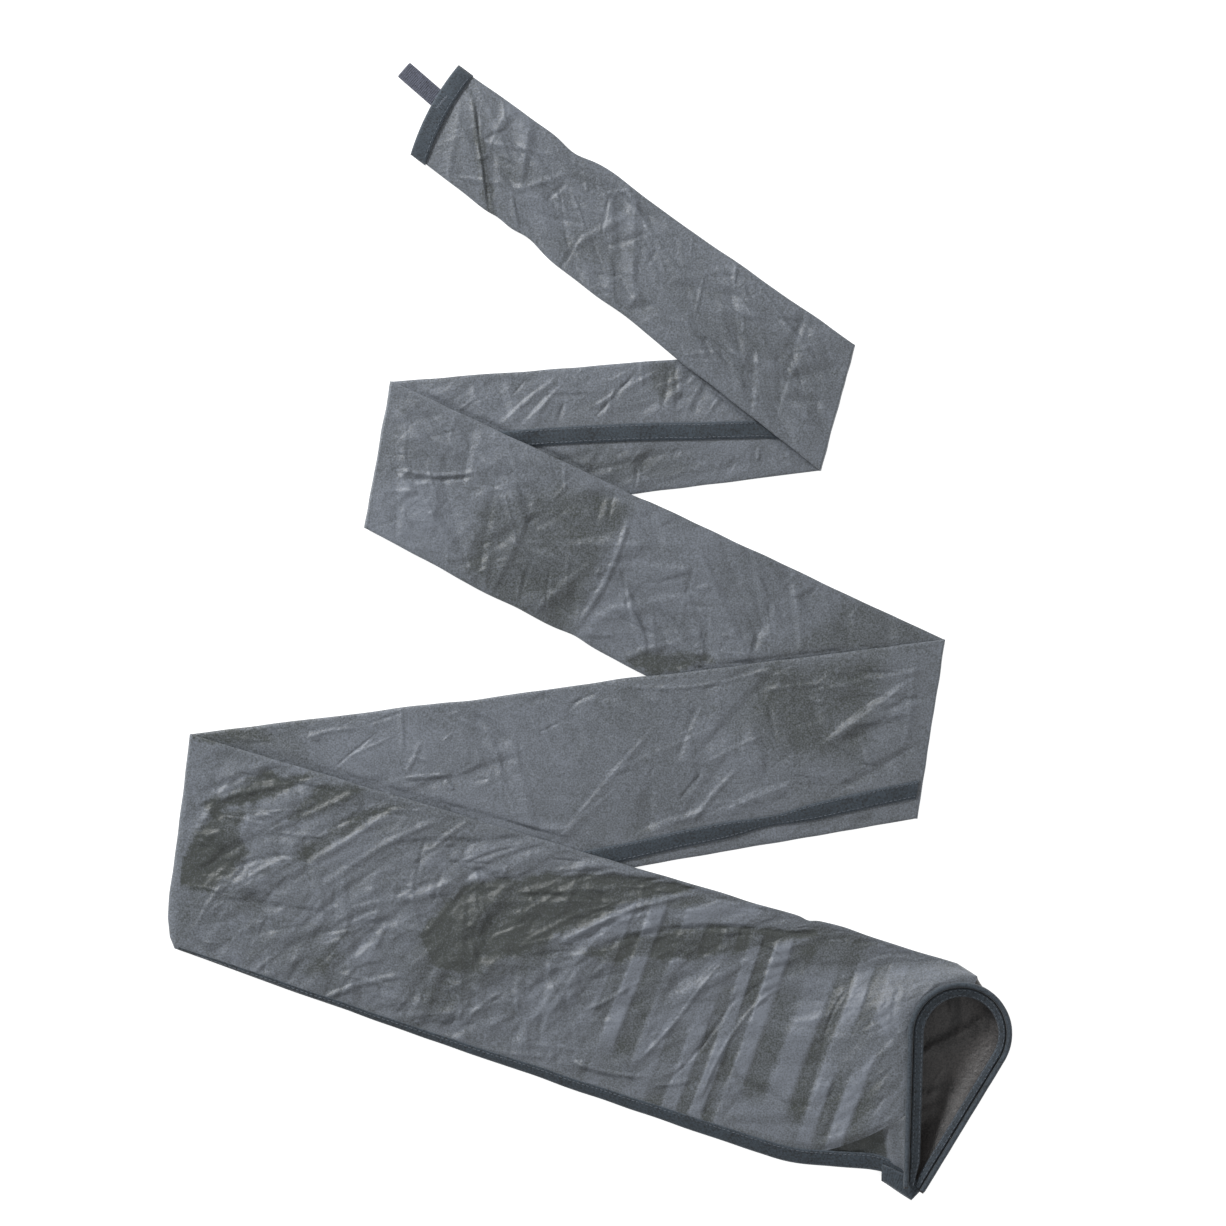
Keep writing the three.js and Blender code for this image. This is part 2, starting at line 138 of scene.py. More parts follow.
def shards(x: Array, y: Array, seed: int, size: float) -> tuple[Array, Array]:
    """Splits the plane into straight-sided shards, like the facets of a crushed sheet.

    Args:
        x: First coordinates, in millimetres.
        y: Second coordinates, in millimetres.
        seed: Chooses the pattern.
        size: Usual width of a shard, in millimetres.

    Returns:
        The distance to the middle of each point's shard, and the shard's own value from -1 to 1.
    """
    spots = np.random.RandomState(seed).uniform(0.0, 1.0, (3, 64, 64))
    gx, gy = x / size + 97.3, y / size + 53.7
    ix, iy = np.floor(gx).astype(int), np.floor(gy).astype(int)
    nearest, value = np.full(x.shape, 9.0), np.zeros(x.shape)
    for dx in (-1, 0, 1):
        for dy in (-1, 0, 1):
            across, up, own = spots[:, (ix + dx) % 64, (iy + dy) % 64]
            gap = np.hypot(gx - ix - dx - across, gy - iy - dy - up)
            value = np.where(gap < nearest, 2.0 * own - 1.0, value)
            nearest = np.minimum(nearest, gap)
    return nearest * size, value


def inside_depth(x: Array, y: Array, corners: Array) -> Array:
    """Returns how far points lie inside an outline, negative outside it.

    Args:
        x: First coordinates.
        y: Second coordinates.
        corners: The outline's corners, one row each.

    Returns:
        The distance to the outline for each point.
    """
    nearest = np.full(x.shape, 1e9)
    inside = np.zeros(x.shape, bool)
    for start, end in zip(corners, np.roll(corners, -1, axis=0)):
        run = end - start
        along = ((x - start[0]) * run[0] + (y - start[1]) * run[1]) / (run @ run)
        along = np.clip(along, 0.0, 1.0)
        gap = np.hypot(x - start[0] - along * run[0], y - start[1] - along * run[1])
        nearest = np.minimum(nearest, gap)
        if run[1] != 0.0:
            crosses = (y < start[1]) != (y < end[1])
            inside ^= crosses & (x < start[0] + (y - start[1]) * run[0] / run[1])
    return np.where(inside, nearest, -nearest)


# ---- The folded tube -----------------------------------------------------------------------------


class Edge(Enum):
    """The two long edges of the pressed tube."""

    NEAR = 0
    FAR = 1


class Face(Enum):
    """The side of a section that its seam tape lies on."""

    UNDER = -1
    OVER = 1
    NONE = 0


@dataclass(frozen=True)
class Tube:
    """Driving sizes of the fabric tube, measured flat, in millimetres."""

    narrow_width: float = 63.0
    widening: float = 0.0478
    lengths: tuple[float, ...] = (320.8, 299.5, 400.2, 491.1, 494.4)
    leads: tuple[float, ...] = (-15.9, -30.5, -26.9, -35.3, -31.1, 24.2)
    heading_deg: float = -36.5
    layer: float = 0.8
    bore_gap: float = 0.5
    tape: float = 1.0
    tape_gap: float = 0.5
    stack_gap: float = 0.5
    drape_start: float = 24.0
    drape_length: float = 76.0
    clearance: float = 1.0

    @property
    def pack(self) -> float:
        """Thickness of one pressed section."""
        return 2.0 * self.layer + self.bore_gap

    @property
    def tape_step(self) -> float:
        """Room that a tape takes under or over a section."""
        return self.tape + self.tape_gap


@dataclass(frozen=True)
class Track:
    """Where the seam runs across a section, from 0 at the near edge to 1 at the far edge."""

    face: Face
    start: float = 0.0
    end: float = 0.0

    def across(self, along: Array) -> Array:
        """Returns the seam's place across at shares of the section's length."""
        return mix(self.start, self.end, 1.0 - (1.0 - along) ** 2)


TRACKS = (
    Track(Face.UNDER, 0.40, 0.67),
    Track(Face.OVER, 0.67, 0.47),
    Track(Face.UNDER, 0.47, 0.83),
    Track(Face.OVER, 0.83, 0.95),
    Track(Face.NONE),
)


class Strip:
    """The tube's zigzag in plan, placed on the frame's crease lines."""

    def __init__(self, tube: Tube) -> None:
        """Folds the tube at each crease and moves it onto the frame.

        Args:
            tube: The tube's sizes.
        """
        self.tube = tube
        self.crossings = self._folded()
        offset = np.array(hinge_place("fold_1")[:2]) / MM - np.mean(self.crossings[1], axis=0)
        self.crossings = [pair + offset for pair in self.crossings]

    def _straight(self) -> list[Array]:
        """Returns the ends of each crossing line of the unfolded tube."""
        tube = self.tube
        along, angle = heading(tube.heading_deg), math.atan(tube.widening / 2.0)
        station, pairs = -tube.leads[0] / 2.0, []
        for index, lead in enumerate(tube.leads):
            station += tube.lengths[index - 1] if index else 0.0
            ends = []
            for side in (1.0, -1.0):
                run = station + side * lead / 2.0
                reach = tube.narrow_width / 2.0 + run * math.sin(angle)
                ends.append(along * run * math.cos(angle) + left_of(along) * side * reach)
            pairs.append(np.array(ends))
        return pairs

    def _folded(self) -> list[Array]:
        """Returns the crossing lines after each fold has mirrored what follows it."""
        pairs = self._straight()
        for crease in range(1, len(pairs) - 1):
            near, far = pairs[crease]
            normal = left_of(unit(far - near))
            for later in pairs[crease + 1:]:
                later -= 2.0 * np.outer((later - near) @ normal, normal)
        return pairs

    def floor(self, index: int) -> float:
        """Returns the height of a section's underside where it lies on the floor."""
        return self.tube.tape_step if TRACKS[index].face is Face.UNDER else 0.0

    def top(self, index: int) -> float:
        """Returns the height of the top of a section on the floor, with its tape."""
        over = self.tube.tape_step if TRACKS[index].face is Face.OVER else 0.0
        return self.floor(index) + self.tube.pack + over

    def past_edge(self, beneath: int, edge: Edge, points: Array) -> Array:
        """Returns how far points lie outside an edge of a section."""
        start = self.crossings[beneath][edge.value]
        end = self.crossings[beneath + 1][edge.value]
        inward = self.crossings[beneath][1 - edge.value] - start
        outward = left_of(unit(end - start))
        outward = -outward if outward @ inward > 0.0 else outward
        return (points - start) @ outward

    def base(self, index: int, points: Array) -> Array:
        """Returns the height of a section's underside at plan points."""
        floor = self.floor(index)
        if index == 1:
            return np.full(points.shape[:-1], floor)
        beneath, edge = (1, Edge.NEAR) if index == 0 else (index - 1, Edge.FAR)
        raised = self.top(beneath) + self.tube.stack_gap + floor
        past = self.past_edge(beneath, edge, points)
        return mix(raised, floor, ease((past - self.tube.drape_start) / self.tube.drape_length))

    def covered(self, index: int, points: Array) -> Array:
        """Returns 1 where another section lies on top of this one and 0 well away from it."""
        cover = np.zeros(points.shape[:-1])
        lids = {1: ((0, Edge.FAR), (2, Edge.NEAR)), 2: ((3, Edge.NEAR),), 3: ((4, Edge.NEAR),)}
        for lid, edge in lids.get(index, ()):
            past = self.past_edge(lid, edge, points)
            cover = np.maximum(cover, ease(1.0 - (past + 1.0) / 7.0))
        return cover


# ---- Relief of the cloth -------------------------------------------------------------------------


@dataclass(frozen=True)
class Crease:
    """One crease of the cloth, placed by shares of its section's length and width."""

    start: tuple[float, float]
    end: tuple[float, float]
    width: float
    depth: float
    sharp: float = 1.0


@dataclass(frozen=True)
class Patch:
    """A stretch of cloth with painted light (positive) or painted shade (negative), lighter or darker than
    the rest.
    """

    outline: tuple[tuple[float, float], ...]
    tone: float
    soft: float = 4.0
    swell: float = 0.0


@dataclass(frozen=True)
class Nip:
    """A place where a long edge is pulled in (negative) or stands out (positive)."""

    edge: Edge
    at: float
    out: float
    width: float


@dataclass(frozen=True)
class Drape:
    """How one section's cloth lies: its creases, its tones of painted light and shade, and its edges."""

    seed: int
    creases: tuple[Crease, ...] = ()
    patches: tuple[Patch, ...] = ()
    nips: tuple[Nip, ...] = ()
    crumple: int = 120
    crumple_turns: tuple[float, ...] = (20.0, 65.0, -40.0)
    loft: float = 1.8
    wrinkle: float = 0.55
    facets: float = 0.45
    pleats: float = 0.0
    tone: float = 0.7


class Relief:
    """Works out the height of a section's top layer and how light its colour is painted, with random
    variation and painted light and shade.
    """

    def __init__(self, drape: Drape, length: float, width: float, plan: Array) -> None:
        """Keeps the drape, the section's size and the plan points, in millimetres."""
        self.drape = drape
        self.length = length
        self.width = width
        self.plan = plan

    def _facets(self, s: Array, t: Array) -> tuple[Array, Array]:
        """Returns the height of the crushed cloth's flat facets and a painted shade that makes each facet
        lighter or darker.
        """
        seed = self.drape.seed
        turn = math.radians(self.drape.crumple_turns[0])
        a = s * math.cos(turn) + t * math.sin(turn)
        b = -s * math.sin(turn) + t * math.cos(turn)
        where = 0.25 + 0.75 * ease(0.5 + 1.4 * wavy(s, t, seed + 4, 48.0))
        broad, broad_facet_shade = shards(a / 2.2 + 3.0 * wavy(s, t, seed + 15, 30.0), b, seed + 50, 17.0)
        fine, fine_facet_shade = shards(a / 1.6 + 1.5 * wavy(s, t, seed + 16, 12.0), b, seed + 51, 7.0)
        height = -0.075 * broad - 0.11 * fine * where
        # Painted shade: each facet's own random value makes it lighter or darker, as a tilted facet would
        # look.
        tone = 0.08 * broad_facet_shade + 0.08 * fine_facet_shade * where
        return self.drape.facets * height, self.drape.facets * tone

    def _crease(self, s: Array, t: Array, crease: Crease) -> Array:
        """Returns one placed crease's height, with its flanks."""
        size = np.array([self.length, self.width])
        a, b = np.array(crease.start) * size, np.array(crease.end) * size
        run = np.linalg.norm(b - a)
        along = unit(b - a)
        ds, dt = s - a[0], t - a[1]
        step = (ds * along[0] + dt * along[1]) / run
        bow = 0.06 * run * np.sin(math.pi * np.clip(step, 0, 1)) * math.sin(run)
        off = ds * -along[1] + dt * along[0] - bow
        window = ease(np.clip(step, 0, 1) * 5.0) * ease((1.0 - np.clip(step, 0, 1)) * 4.0)
        ridge = np.clip(1.0 - np.abs(off) / crease.width, 0.0, 1.0) ** crease.sharp
        return crease.depth * ridge * window

    def _crumple(self, s: Array, t: Array) -> Array:
        """Returns many small seeded creases, in the drape's main directions."""
        drape, height = self.drape, np.zeros_like(s)
        rng = np.random.RandomState(drape.seed)
        for order in range(int(drape.crumple * 2.2)):
            cs, ct = rng.uniform(0, self.length), rng.uniform(0, self.width)
            turn = math.radians(drape.crumple_turns[rng.randint(len(drape.crumple_turns))])
            turn += rng.normal(0.0, 0.3)
            broad = order % 3 == 0
            run = rng.uniform(16.0, 52.0) if broad else rng.uniform(5.0, 20.0)
            width = rng.uniform(6.0, 15.0) if broad else rng.uniform(1.8, 4.5)
            slope = rng.choice([-1.0, 1.0]) * rng.uniform(0.05, 0.13 if broad else 0.24)
            near = (np.abs(s - cs) < run + 15.0) & (np.abs(t - ct) < run + 15.0)
            ds, dt = s[near] - cs, t[near] - ct
            step = (ds * math.cos(turn) + dt * math.sin(turn)) / run
            off = -ds * math.sin(turn) + dt * math.cos(turn)
            taper = np.clip(1.0 - np.abs(step), 0.0, 1.0)
            side = np.where(off > 0.0, width, width * 0.5) * (0.35 + 0.65 * taper)
            ridge = np.clip(1.0 - np.abs(off) / side, 0.0, 1.0)
            height[near] += slope * width * ridge * ease(taper * 2.0)
        return height

    def _wrinkles(self, s: Array, t: Array) -> Array:
        """Returns the soft long wrinkles and the folded look between them."""
        seed = self.drape.seed
        turn = math.radians(self.drape.crumple_turns[0])
        a = s * math.cos(turn) + t * math.sin(turn)
        b = -s * math.sin(turn) + t * math.cos(turn)
        b = b + 4.0 * wavy(s, t, seed + 5, 40.0)
        long_ones = 0.9 - 2.0 * np.abs(wavy(a / 3.0, b, seed + 1, 19.0))
        facets = 0.6 - 1.8 * np.abs(wavy(a / 1.7 + 2.0 * wavy(s, t, seed + 6, 13.0), b, seed + 2, 9.5))
        where = 0.3 + 0.7 * ease(0.5 + 1.3 * wavy(s, t, seed + 4, 48.0))
        calm = 1.0 - 0.55 * self.pleated(s)
        return self.drape.wrinkle * calm * (0.7 * long_ones + 0.4 * facets * (0.4 + 0.6 * where))

    def pleated(self, s: Array) -> Array:
        """Returns how far the accordion pleats reach along the section, from 0 to 1."""
        if not self.drape.pleats:
            return np.zeros_like(s)
        share = s / self.length
        return ease((share - 0.56) * 14.0) * ease((0.975 - share) * 18.0)

    def _patch(self, s: Array, t: Array, patch: Patch) -> Array:
        """Returns 1 inside a patch's outline and 0 outside it."""
        seed = self.drape.seed
        depth = inside_depth(s, t, np.array(patch.outline) * np.array([self.length, self.width]))
        depth += 2.4 * wavy(s, t, seed + 9, 8.0) + 2.2 * wavy(s, t, seed + 8, 21.0)
        depth += wavy(s, t, seed + 7, 3.6)
        return ease(0.5 + depth / (2.0 * patch.soft))

    def pleat(self, s: Array, t: Array) -> Array:
        """Returns the slope of the flat accordion pleats pressed in beside the mouth, from -1 to 1."""
        if not self.drape.pleats:
            return np.zeros_like(s)
        seed = self.drape.seed
        run = self.plan @ heading(-20.0) + 1.6 * wavy(s, t, seed + 31, 90.0)
        run = run + 4.5 * np.sin(run / 13.0) + 3.0 * np.sin(run / 29.0 + 1.0)
        cell = np.floor(run / 11.5)
        step = run / 11.5 - cell
        sizes = np.random.RandomState(seed).uniform(0.35, 1.0, 512)
        size = sizes[cell.astype(int) % 512]
        turn = np.where(np.mod(cell, 2) == 0, 1.0, -1.0)
        flat = turn * size * np.clip(np.minimum(step, 1.0 - step) * 10.0, 0.0, 1.0)
        spread = ease(0.75 + 1.1 * wavy(s, t, seed + 32, 44.0)) * ease(0.5 + (t - 26.0) / 16.0)
        return self.drape.pleats * flat * self.pleated(s) * spread

    def height(self, s: Array, t: Array) -> Array:
        """Returns the cloth's height above its resting thickness, in millimetres."""
        height = self._wrinkles(s, t) + 0.8 * self.pleat(s, t)
        height += self._crumple(s, t) * (1.0 - 0.5 * self.pleated(s))
        height += self._facets(s, t)[0]
        for crease in self.drape.creases:
            height += self._crease(s, t, crease)
        for patch in self.drape.patches:
            if patch.swell:
                height += patch.swell * self._patch(s, t, patch)
        return height

    def tone(self, s: Array, t: Array, height: Array) -> Array:
        """Returns how light the cloth's colour is, from 0, dull and dark, to 1, the painted sheen: random
        variation plus painted light and shade from facets, pleat slopes, height and patches.
        """
        seed = self.drape.seed
        tone = self.drape.tone + 0.10 * wavy(s, t, seed + 11, 60.0) + 0.04 * wavy(s, t, seed + 12, 14.0)
        # Painted light and shade: pleat facets lighter or darker by their slope, each shard lighter or
        # darker, and higher cloth lighter than lower cloth.
        tone += 0.46 * self.pleat(s, t) + self._facets(s, t)[1] + 0.05 * np.clip(height, -1.5, 1.5)
        # Painted light and shade of the drape's patches.
        for patch in self.drape.patches:
            tone += patch.tone * self._patch(s, t, patch)
        return np.clip(tone, 0.0, 1.0)


# Each drape's patches paint light and shade onto the cloth: negative ones are painted shade in hollows and
# folds, positive ones painted light.
DRAPES = (
    Drape(
        seed=11,
        creases=(
            Crease((0.035, 0.10), (0.17, 0.98), 2.6, 1.0, 0.8),
            Crease((0.075, 0.22), (0.20, 1.0), 2.2, 0.8, 0.8),
            Crease((0.055, 0.16), (0.185, 1.0), 1.6, -1.3, 0.9),
            Crease((0.10, 0.45), (0.28, 0.14), 2.4, 0.8),
            Crease((0.19, 0.66), (0.30, 0.17), 3.0, 0.9),
            Crease((0.34, 0.86), (0.47, 0.13), 3.6, 0.9),
            Crease((0.41, 0.60), (0.51, 0.18), 2.6, -0.7),
            Crease((0.52, 0.78), (0.50, 1.0), 2.6, 0.6),
            Crease((0.76, 0.05), (0.86, 0.22), 2.4, 0.6),
            Crease((0.66, 0.77), (0.79, 0.75), 3.0, -0.5),
        ),
        patches=(
            Patch(((0.04, 0.14), (0.08, 0.28), (0.19, 0.95), (0.17, 0.94), (0.10, 0.56)), -0.3, 2.0),
            Patch(((0.13, 0.48), (0.21, 0.34), (0.28, 0.25), (0.25, 0.48), (0.18, 0.64)), -0.15, 5.0),
            Patch(((0.30, 0.83), (0.40, 0.44), (0.51, 0.28), (0.50, 0.50), (0.38, 0.83)), -0.15, 7.0),
        ),
        nips=(
            Nip(Edge.NEAR, 0.29, -2.6, 12.0),
            Nip(Edge.NEAR, 0.40, 1.6, 20.0),
            Nip(Edge.FAR, 0.19, -1.6, 8.0),
            Nip(Edge.FAR, 0.265, -2.6, 12.0),
            Nip(Edge.FAR, 0.52, -1.4, 16.0),
        ),
        crumple=70,
        crumple_turns=(28.0, 80.0, -15.0),
        wrinkle=0.62,
        tone=0.62,
    ),
    Drape(
        seed=23,
        creases=(
            Crease((0.83, 0.05), (0.74, 0.41), 3.0, 0.8),
            Crease((0.63, 0.05), (0.52, 0.41), 2.6, -0.6),
            Crease((0.40, 0.03), (0.39, 0.40), 3.2, -0.8),
            Crease((0.48, 0.76), (0.43, 0.98), 2.2, 0.8),
            Crease((0.42, 0.76), (0.41, 0.98), 2.0, -0.8),
        ),
        patches=(
            Patch(
                ((0.64, 0.66), (0.42, 0.68), (0.29, 0.69), (0.29, 0.87), (0.44, 0.95), (0.58, 0.82)),
                -0.2, 9.0,
            ),
            Patch(((0.44, 0.0), (0.39, 0.0), (0.36, 0.25), (0.39, 0.32), (0.43, 0.18)), -0.28, 2.5),
            Patch(((0.99, 0.0), (0.76, 0.02), (0.70, 0.35), (0.88, 0.23)), 0.12, 9.0),
        ),
        crumple=60,
        crumple_turns=(10.0, 60.0, -60.0),
        wrinkle=0.5,
        tone=0.62,
    ),
    Drape(
        seed=37,
        creases=(
            Crease((0.03, 0.49), (0.18, 0.26), 1.8, 1.0, 0.8),
            Crease((0.04, 0.53), (0.17, 0.31), 1.8, -0.9, 0.8),
            Crease((0.03, 0.75), (0.11, 0.41), 3.2, 0.6),
            Crease((0.15, 0.92), (0.26, 0.47), 3.6, -0.6),
            Crease((0.44, 0.06), (0.37, 1.0), 2.4, 1.1, 0.8),
            Crease((0.46, 1.0), (0.57, 0.70), 3.0, 0.9),
            Crease((0.53, 0.94), (0.63, 0.72), 2.6, 0.8),
            Crease((0.95, 0.03), (0.99, 0.16), 2.4, -0.8),
            Crease((0.75, 0.15), (0.81, 0.29), 2.6, -0.6),
        ),
        patches=(
            Patch(((0.0, 0.62), (0.11, 0.41), (0.17, 0.62), (0.12, 0.99), (0.01, 1.00)), 0.16, 7.0),
            Patch(
                (
                    (0.18, 0.47), (0.31, 0.18), (0.44, 0.04), (0.40, 0.47), (0.37, 0.98), (0.28, 1.0),
                    (0.18, 0.86),
                ),
                -0.3, 7.0,
            ),
            Patch(((0.37, 0.09), (0.44, 0.06), (0.42, 0.18), (0.39, 0.21)), -0.12, 3.0),
            Patch(((0.45, 0.02), (0.60, 0.03), (0.58, 0.42), (0.49, 0.87), (0.38, 0.98)), 0.1, 5.0),
            Patch(
                ((0.47, 0.96), (0.50, 0.88), (0.58, 0.74), (0.62, 0.73), (0.58, 0.84), (0.52, 0.99)),
                -0.5, 3.0, -0.6,
            ),
            Patch(
                (
                    (0.85, 0.0), (0.95, 0.0), (0.99, 0.02), (0.93, 0.14), (0.85, 0.32), (0.73, 0.53),
                    (0.76, 0.37),
                ),
                -0.3, 8.0,
            ),
        ),
        nips=(
            Nip(Edge.NEAR, 0.44, -1.0, 9.0),
            Nip(Edge.FAR, 0.38, -1.6, 10.0),
            Nip(Edge.FAR, 0.20, 1.0, 25.0),
        ),
        crumple=110,
        crumple_turns=(-30.0, 40.0, 80.0),
        wrinkle=0.62,
        tone=0.62,
    ),
    Drape(
        seed=41,
        creases=(
            Crease((0.38, 0.04), (0.32, 0.24), 2.8, 0.8),
            Crease((0.32, 0.16), (0.34, 0.47), 3.0, -0.8),
            Crease((0.24, 0.15), (0.15, 0.15), 2.4, 0.7),
            Crease((0.09, 0.28), (0.06, 0.37), 2.4, 0.7),
            Crease((0.31, 0.80), (0.25, 0.52), 3.2, 0.9),
            Crease((0.69, 0.17), (0.71, 0.36), 2.6, 0.7),
            Crease((0.61, 0.11), (0.57, 0.53), 3.2, 0.8),
            Crease((0.54, 0.05), (0.50, 0.37), 3.0, -0.8),
            Crease((0.26, 0.41), (0.18, 0.72), 3.4, 0.9),
            Crease((0.85, 0.10), (0.77, 0.08), 2.2, 0.7),
            Crease((0.035, 0.04), (0.03, 0.60), 3.6, 0.7),
            Crease((0.44, 0.03), (0.20, 0.02), 2.0, 0.6),
        ),
        patches=(
            Patch(
                ((0.24, 0.03), (0.08, 0.01), (0.07, 0.30), (0.09, 0.56), (0.20, 0.49), (0.25, 0.25)),
                -0.34, 12.0,
            ),
            Patch(((0.85, 0.07), (0.49, 0.07), (0.48, 0.84), (0.64, 0.65), (0.78, 0.37)), 0.18, 14.0),
            Patch(((1.00, 0.0), (0.91, 0.0), (0.89, 0.10), (0.99, 0.06)), -0.4, 5.0),
        ),
        nips=(Nip(Edge.NEAR, 0.42, 0.8, 18.0), Nip(Edge.NEAR, 0.62, -0.8, 16.0)),
        crumple=120,
        crumple_turns=(-55.0, 20.0, -20.0),
        wrinkle=0.62,
        tone=0.57,
    ),
    Drape(
        seed=53,
        creases=(
            Crease((0.0, 0.31), (0.19, -0.03), 2.6, 0.9),
            Crease((0.0, 0.37), (0.14, 0.02), 2.6, -0.7),
            Crease((0.09, 0.36), (0.22, 0.0), 3.4, 1.1),
            Crease((0.07, 0.52), (0.16, 0.38), 2.6, -0.9),
            Crease((0.12, 0.55), (0.27, 0.03), 3.6, 1.1),
            Crease((0.18, 0.54), (0.33, 0.0), 3.6, 1.0),
            Crease((0.0, 0.66), (0.06, 0.63), 1.8, 0.8),
            Crease((0.04, 0.66), (0.19, 0.27), 3.0, 0.9),
            Crease((0.31, 0.31), (0.34, 0.55), 2.6, 0.8),
            Crease((0.35, 0.0), (0.32, 0.25), 2.6, 0.8),
            Crease((0.31, 0.14), (0.32, 0.35), 2.2, -0.8),
            Crease((0.25, 0.77), (0.30, 0.51), 3.2, 1.0),
            Crease((0.23, 1.0), (0.27, 0.75), 2.6, -0.9),
            Crease((0.20, 1.0), (0.34, 0.74), 2.6, 1.0),
            Crease((0.28, 0.67), (0.29, 0.61), 2.4, 0.7),
            Crease((0.34, 0.58), (0.38, 0.31), 3.4, 1.1),
            Crease((0.38, 0.31), (0.60, 0.06), 3.4, 0.9),
            Crease((0.47, 0.52), (0.55, 0.25), 3.0, 0.8),
            Crease((0.52, 0.47), (0.65, 0.01), 3.6, 1.5),
            Crease((0.56, 0.46), (0.80, 0.10), 4.0, -1.1),
            Crease((0.48, 0.62), (0.50, 0.88), 2.8, 0.9),
            Crease((0.38, 0.96), (0.56, 0.92), 2.6, 0.9),
            Crease((0.56, 0.92), (0.69, 0.90), 2.4, 1.2),
            Crease((0.69, 0.94), (0.75, 0.86), 2.6, 1.0),
            Crease((0.80, 0.79), (0.85, 0.89), 2.6, -0.9),
            Crease((0.92, 0.37), (0.985, 0.72), 4.0, 1.3),
            Crease((0.94, 0.27), (0.985, 0.58), 3.0, -1.0),
            Crease((0.01, 0.04), (0.012, 0.80), 2.4, 0.6),
            Crease((0.66, 0.88), (0.74, 0.30), 1.8, 1.0),
            Crease((0.71, 0.92), (0.78, 0.42), 1.8, -1.0),
            Crease((0.76, 0.96), (0.83, 0.34), 1.8, 1.1),
            Crease((0.85, 0.90), (0.88, 0.30), 1.8, -1.0),
            Crease((0.74, 0.20), (0.82, 0.30), 1.6, 0.9),
            Crease((0.82, 0.24), (0.86, 0.42), 1.6, 0.9),
            Crease((0.62, 0.80), (0.68, 0.96), 2.0, 1.1),
            Crease((0.58, 0.70), (0.64, 0.52), 2.0, 1.0),
            Crease((0.42, 0.88), (0.47, 0.70), 2.0, 0.9),
            Crease((0.11, 0.96), (0.16, 0.78), 2.0, 0.8),
        ),
        patches=(
            Patch(((0.0, 0.0), (0.04, -0.06), (0.05, -0.04), (0.03, 0.01), (0.01, 0.02)), -0.55, 1.5),
            Patch(
                (
                    (0.01, 0.30), (0.06, 0.19), (0.09, 0.08), (0.15, 0.03), (0.14, 0.08), (0.09, 0.22),
                    (0.04, 0.30),
                ),
                -0.5, 2.5, -0.5,
            ),
            Patch(
                (
                    (0.0, 0.56), (0.02, 0.37), (0.07, 0.25), (0.10, 0.22), (0.07, 0.34), (0.09, 0.43),
                    (0.05, 0.64), (0.0, 0.64),
                ),
                -0.5, 3.0, -0.5,
            ),
            Patch(
                (
                    (0.12, 0.28), (0.14, 0.20), (0.16, 0.06), (0.19, 0.01), (0.22, 0.01), (0.19, 0.12),
                    (0.16, 0.21),
                ),
                -0.45, 2.5, -0.4,
            ),
            Patch(
                (
                    (0.11, 0.50), (0.15, 0.42), (0.20, 0.18), (0.23, 0.10), (0.27, 0.03), (0.23, 0.18),
                    (0.18, 0.38),
                ),
                -0.4, 3.0, -0.5,
            ),
            Patch(
                ((0.19, 0.86), (0.22, 0.70), (0.24, 0.61), (0.25, 0.62), (0.23, 0.71), (0.22, 0.86)),
                -0.35, 3.0,
            ),
            Patch(((0.10, 0.86), (0.12, 0.73), (0.20, 0.68), (0.20, 0.79), (0.14, 0.90)), -0.14, 8.0),
            Patch(
                (
                    (0.38, 0.31), (0.35, 0.50), (0.34, 0.57), (0.37, 0.68), (0.41, 0.66), (0.46, 0.56),
                     (0.51, 0.45),
                    (0.55, 0.35), (0.58, 0.20), (0.61, 0.10), (0.63, 0.02), (0.59, 0.04), (0.54, 0.07),
                     (0.44, 0.22),
                ),
                -0.6, 3.0, -0.8,
            ),
            Patch(
                (
                    (0.34, 0.58), (0.34, 0.82), (0.35, 0.92), (0.39, 0.88), (0.44, 0.67), (0.52, 0.47),
                    (0.39, 0.56),
                ),
                -0.3, 10.0,
            ),
            Patch(
                (
                    (0.56, 0.46), (0.60, 0.36), (0.66, 0.27), (0.70, 0.19), (0.79, 0.08), (0.80, 0.11),
                     (0.78, 0.19),
                    (0.74, 0.29), (0.70, 0.36), (0.63, 0.42), (0.60, 0.47),
                ),
                -0.55, 3.0, -0.6,
            ),
            Patch(
                (
                    (0.52, 0.46), (0.56, 0.32), (0.58, 0.25), (0.61, 0.20), (0.66, 0.12), (0.67, 0.05),
                     (0.71, 0.02),
                    (0.72, 0.06), (0.72, 0.15), (0.68, 0.21), (0.62, 0.30), (0.58, 0.40),
                ),
                0.22, 2.5, 0.5,
            ),
            Patch(((0.62, 0.16), (0.64, 0.05), (0.65, 0.01), (0.66, 0.09), (0.64, 0.17)), -0.3, 2.0),
            Patch(
                ((0.38, 0.95), (0.43, 0.74), (0.50, 0.60), (0.53, 0.64), (0.54, 0.90), (0.47, 0.95)),
                0.12, 8.0,
            ),
            Patch(
                ((0.79, 0.05), (0.84, 0.02), (0.86, 0.05), (0.87, 0.17), (0.84, 0.29), (0.81, 0.23)),
                -0.28, 5.0,
            ),
            Patch(
                (
                    (0.90, 0.22), (0.94, 0.11), (0.97, 0.10), (0.97, 0.27), (0.97, 0.64), (0.98, 0.8),
                    (0.94, 0.43),
                ),
                0.16, 5.0,
            ),
            Patch(((0.80, 0.79), (0.82, 0.77), (0.86, 0.86), (0.85, 0.92), (0.82, 0.91)), -0.25, 4.0),
        ),
        nips=(
            Nip(Edge.NEAR, 0.80, 1.6, 18.0),
            Nip(Edge.NEAR, 0.765, -1.4, 4.0),
            Nip(Edge.NEAR, 0.66, 0.6, 12.0),
        ),
        crumple=230,
        crumple_turns=(-50.0, -20.0, 60.0),
        wrinkle=0.75,
        facets=1.2,
        tone=0.62,
        pleats=1.0,
    ),
)


# ---- Meshes --------------------------------------------------------------------------------------


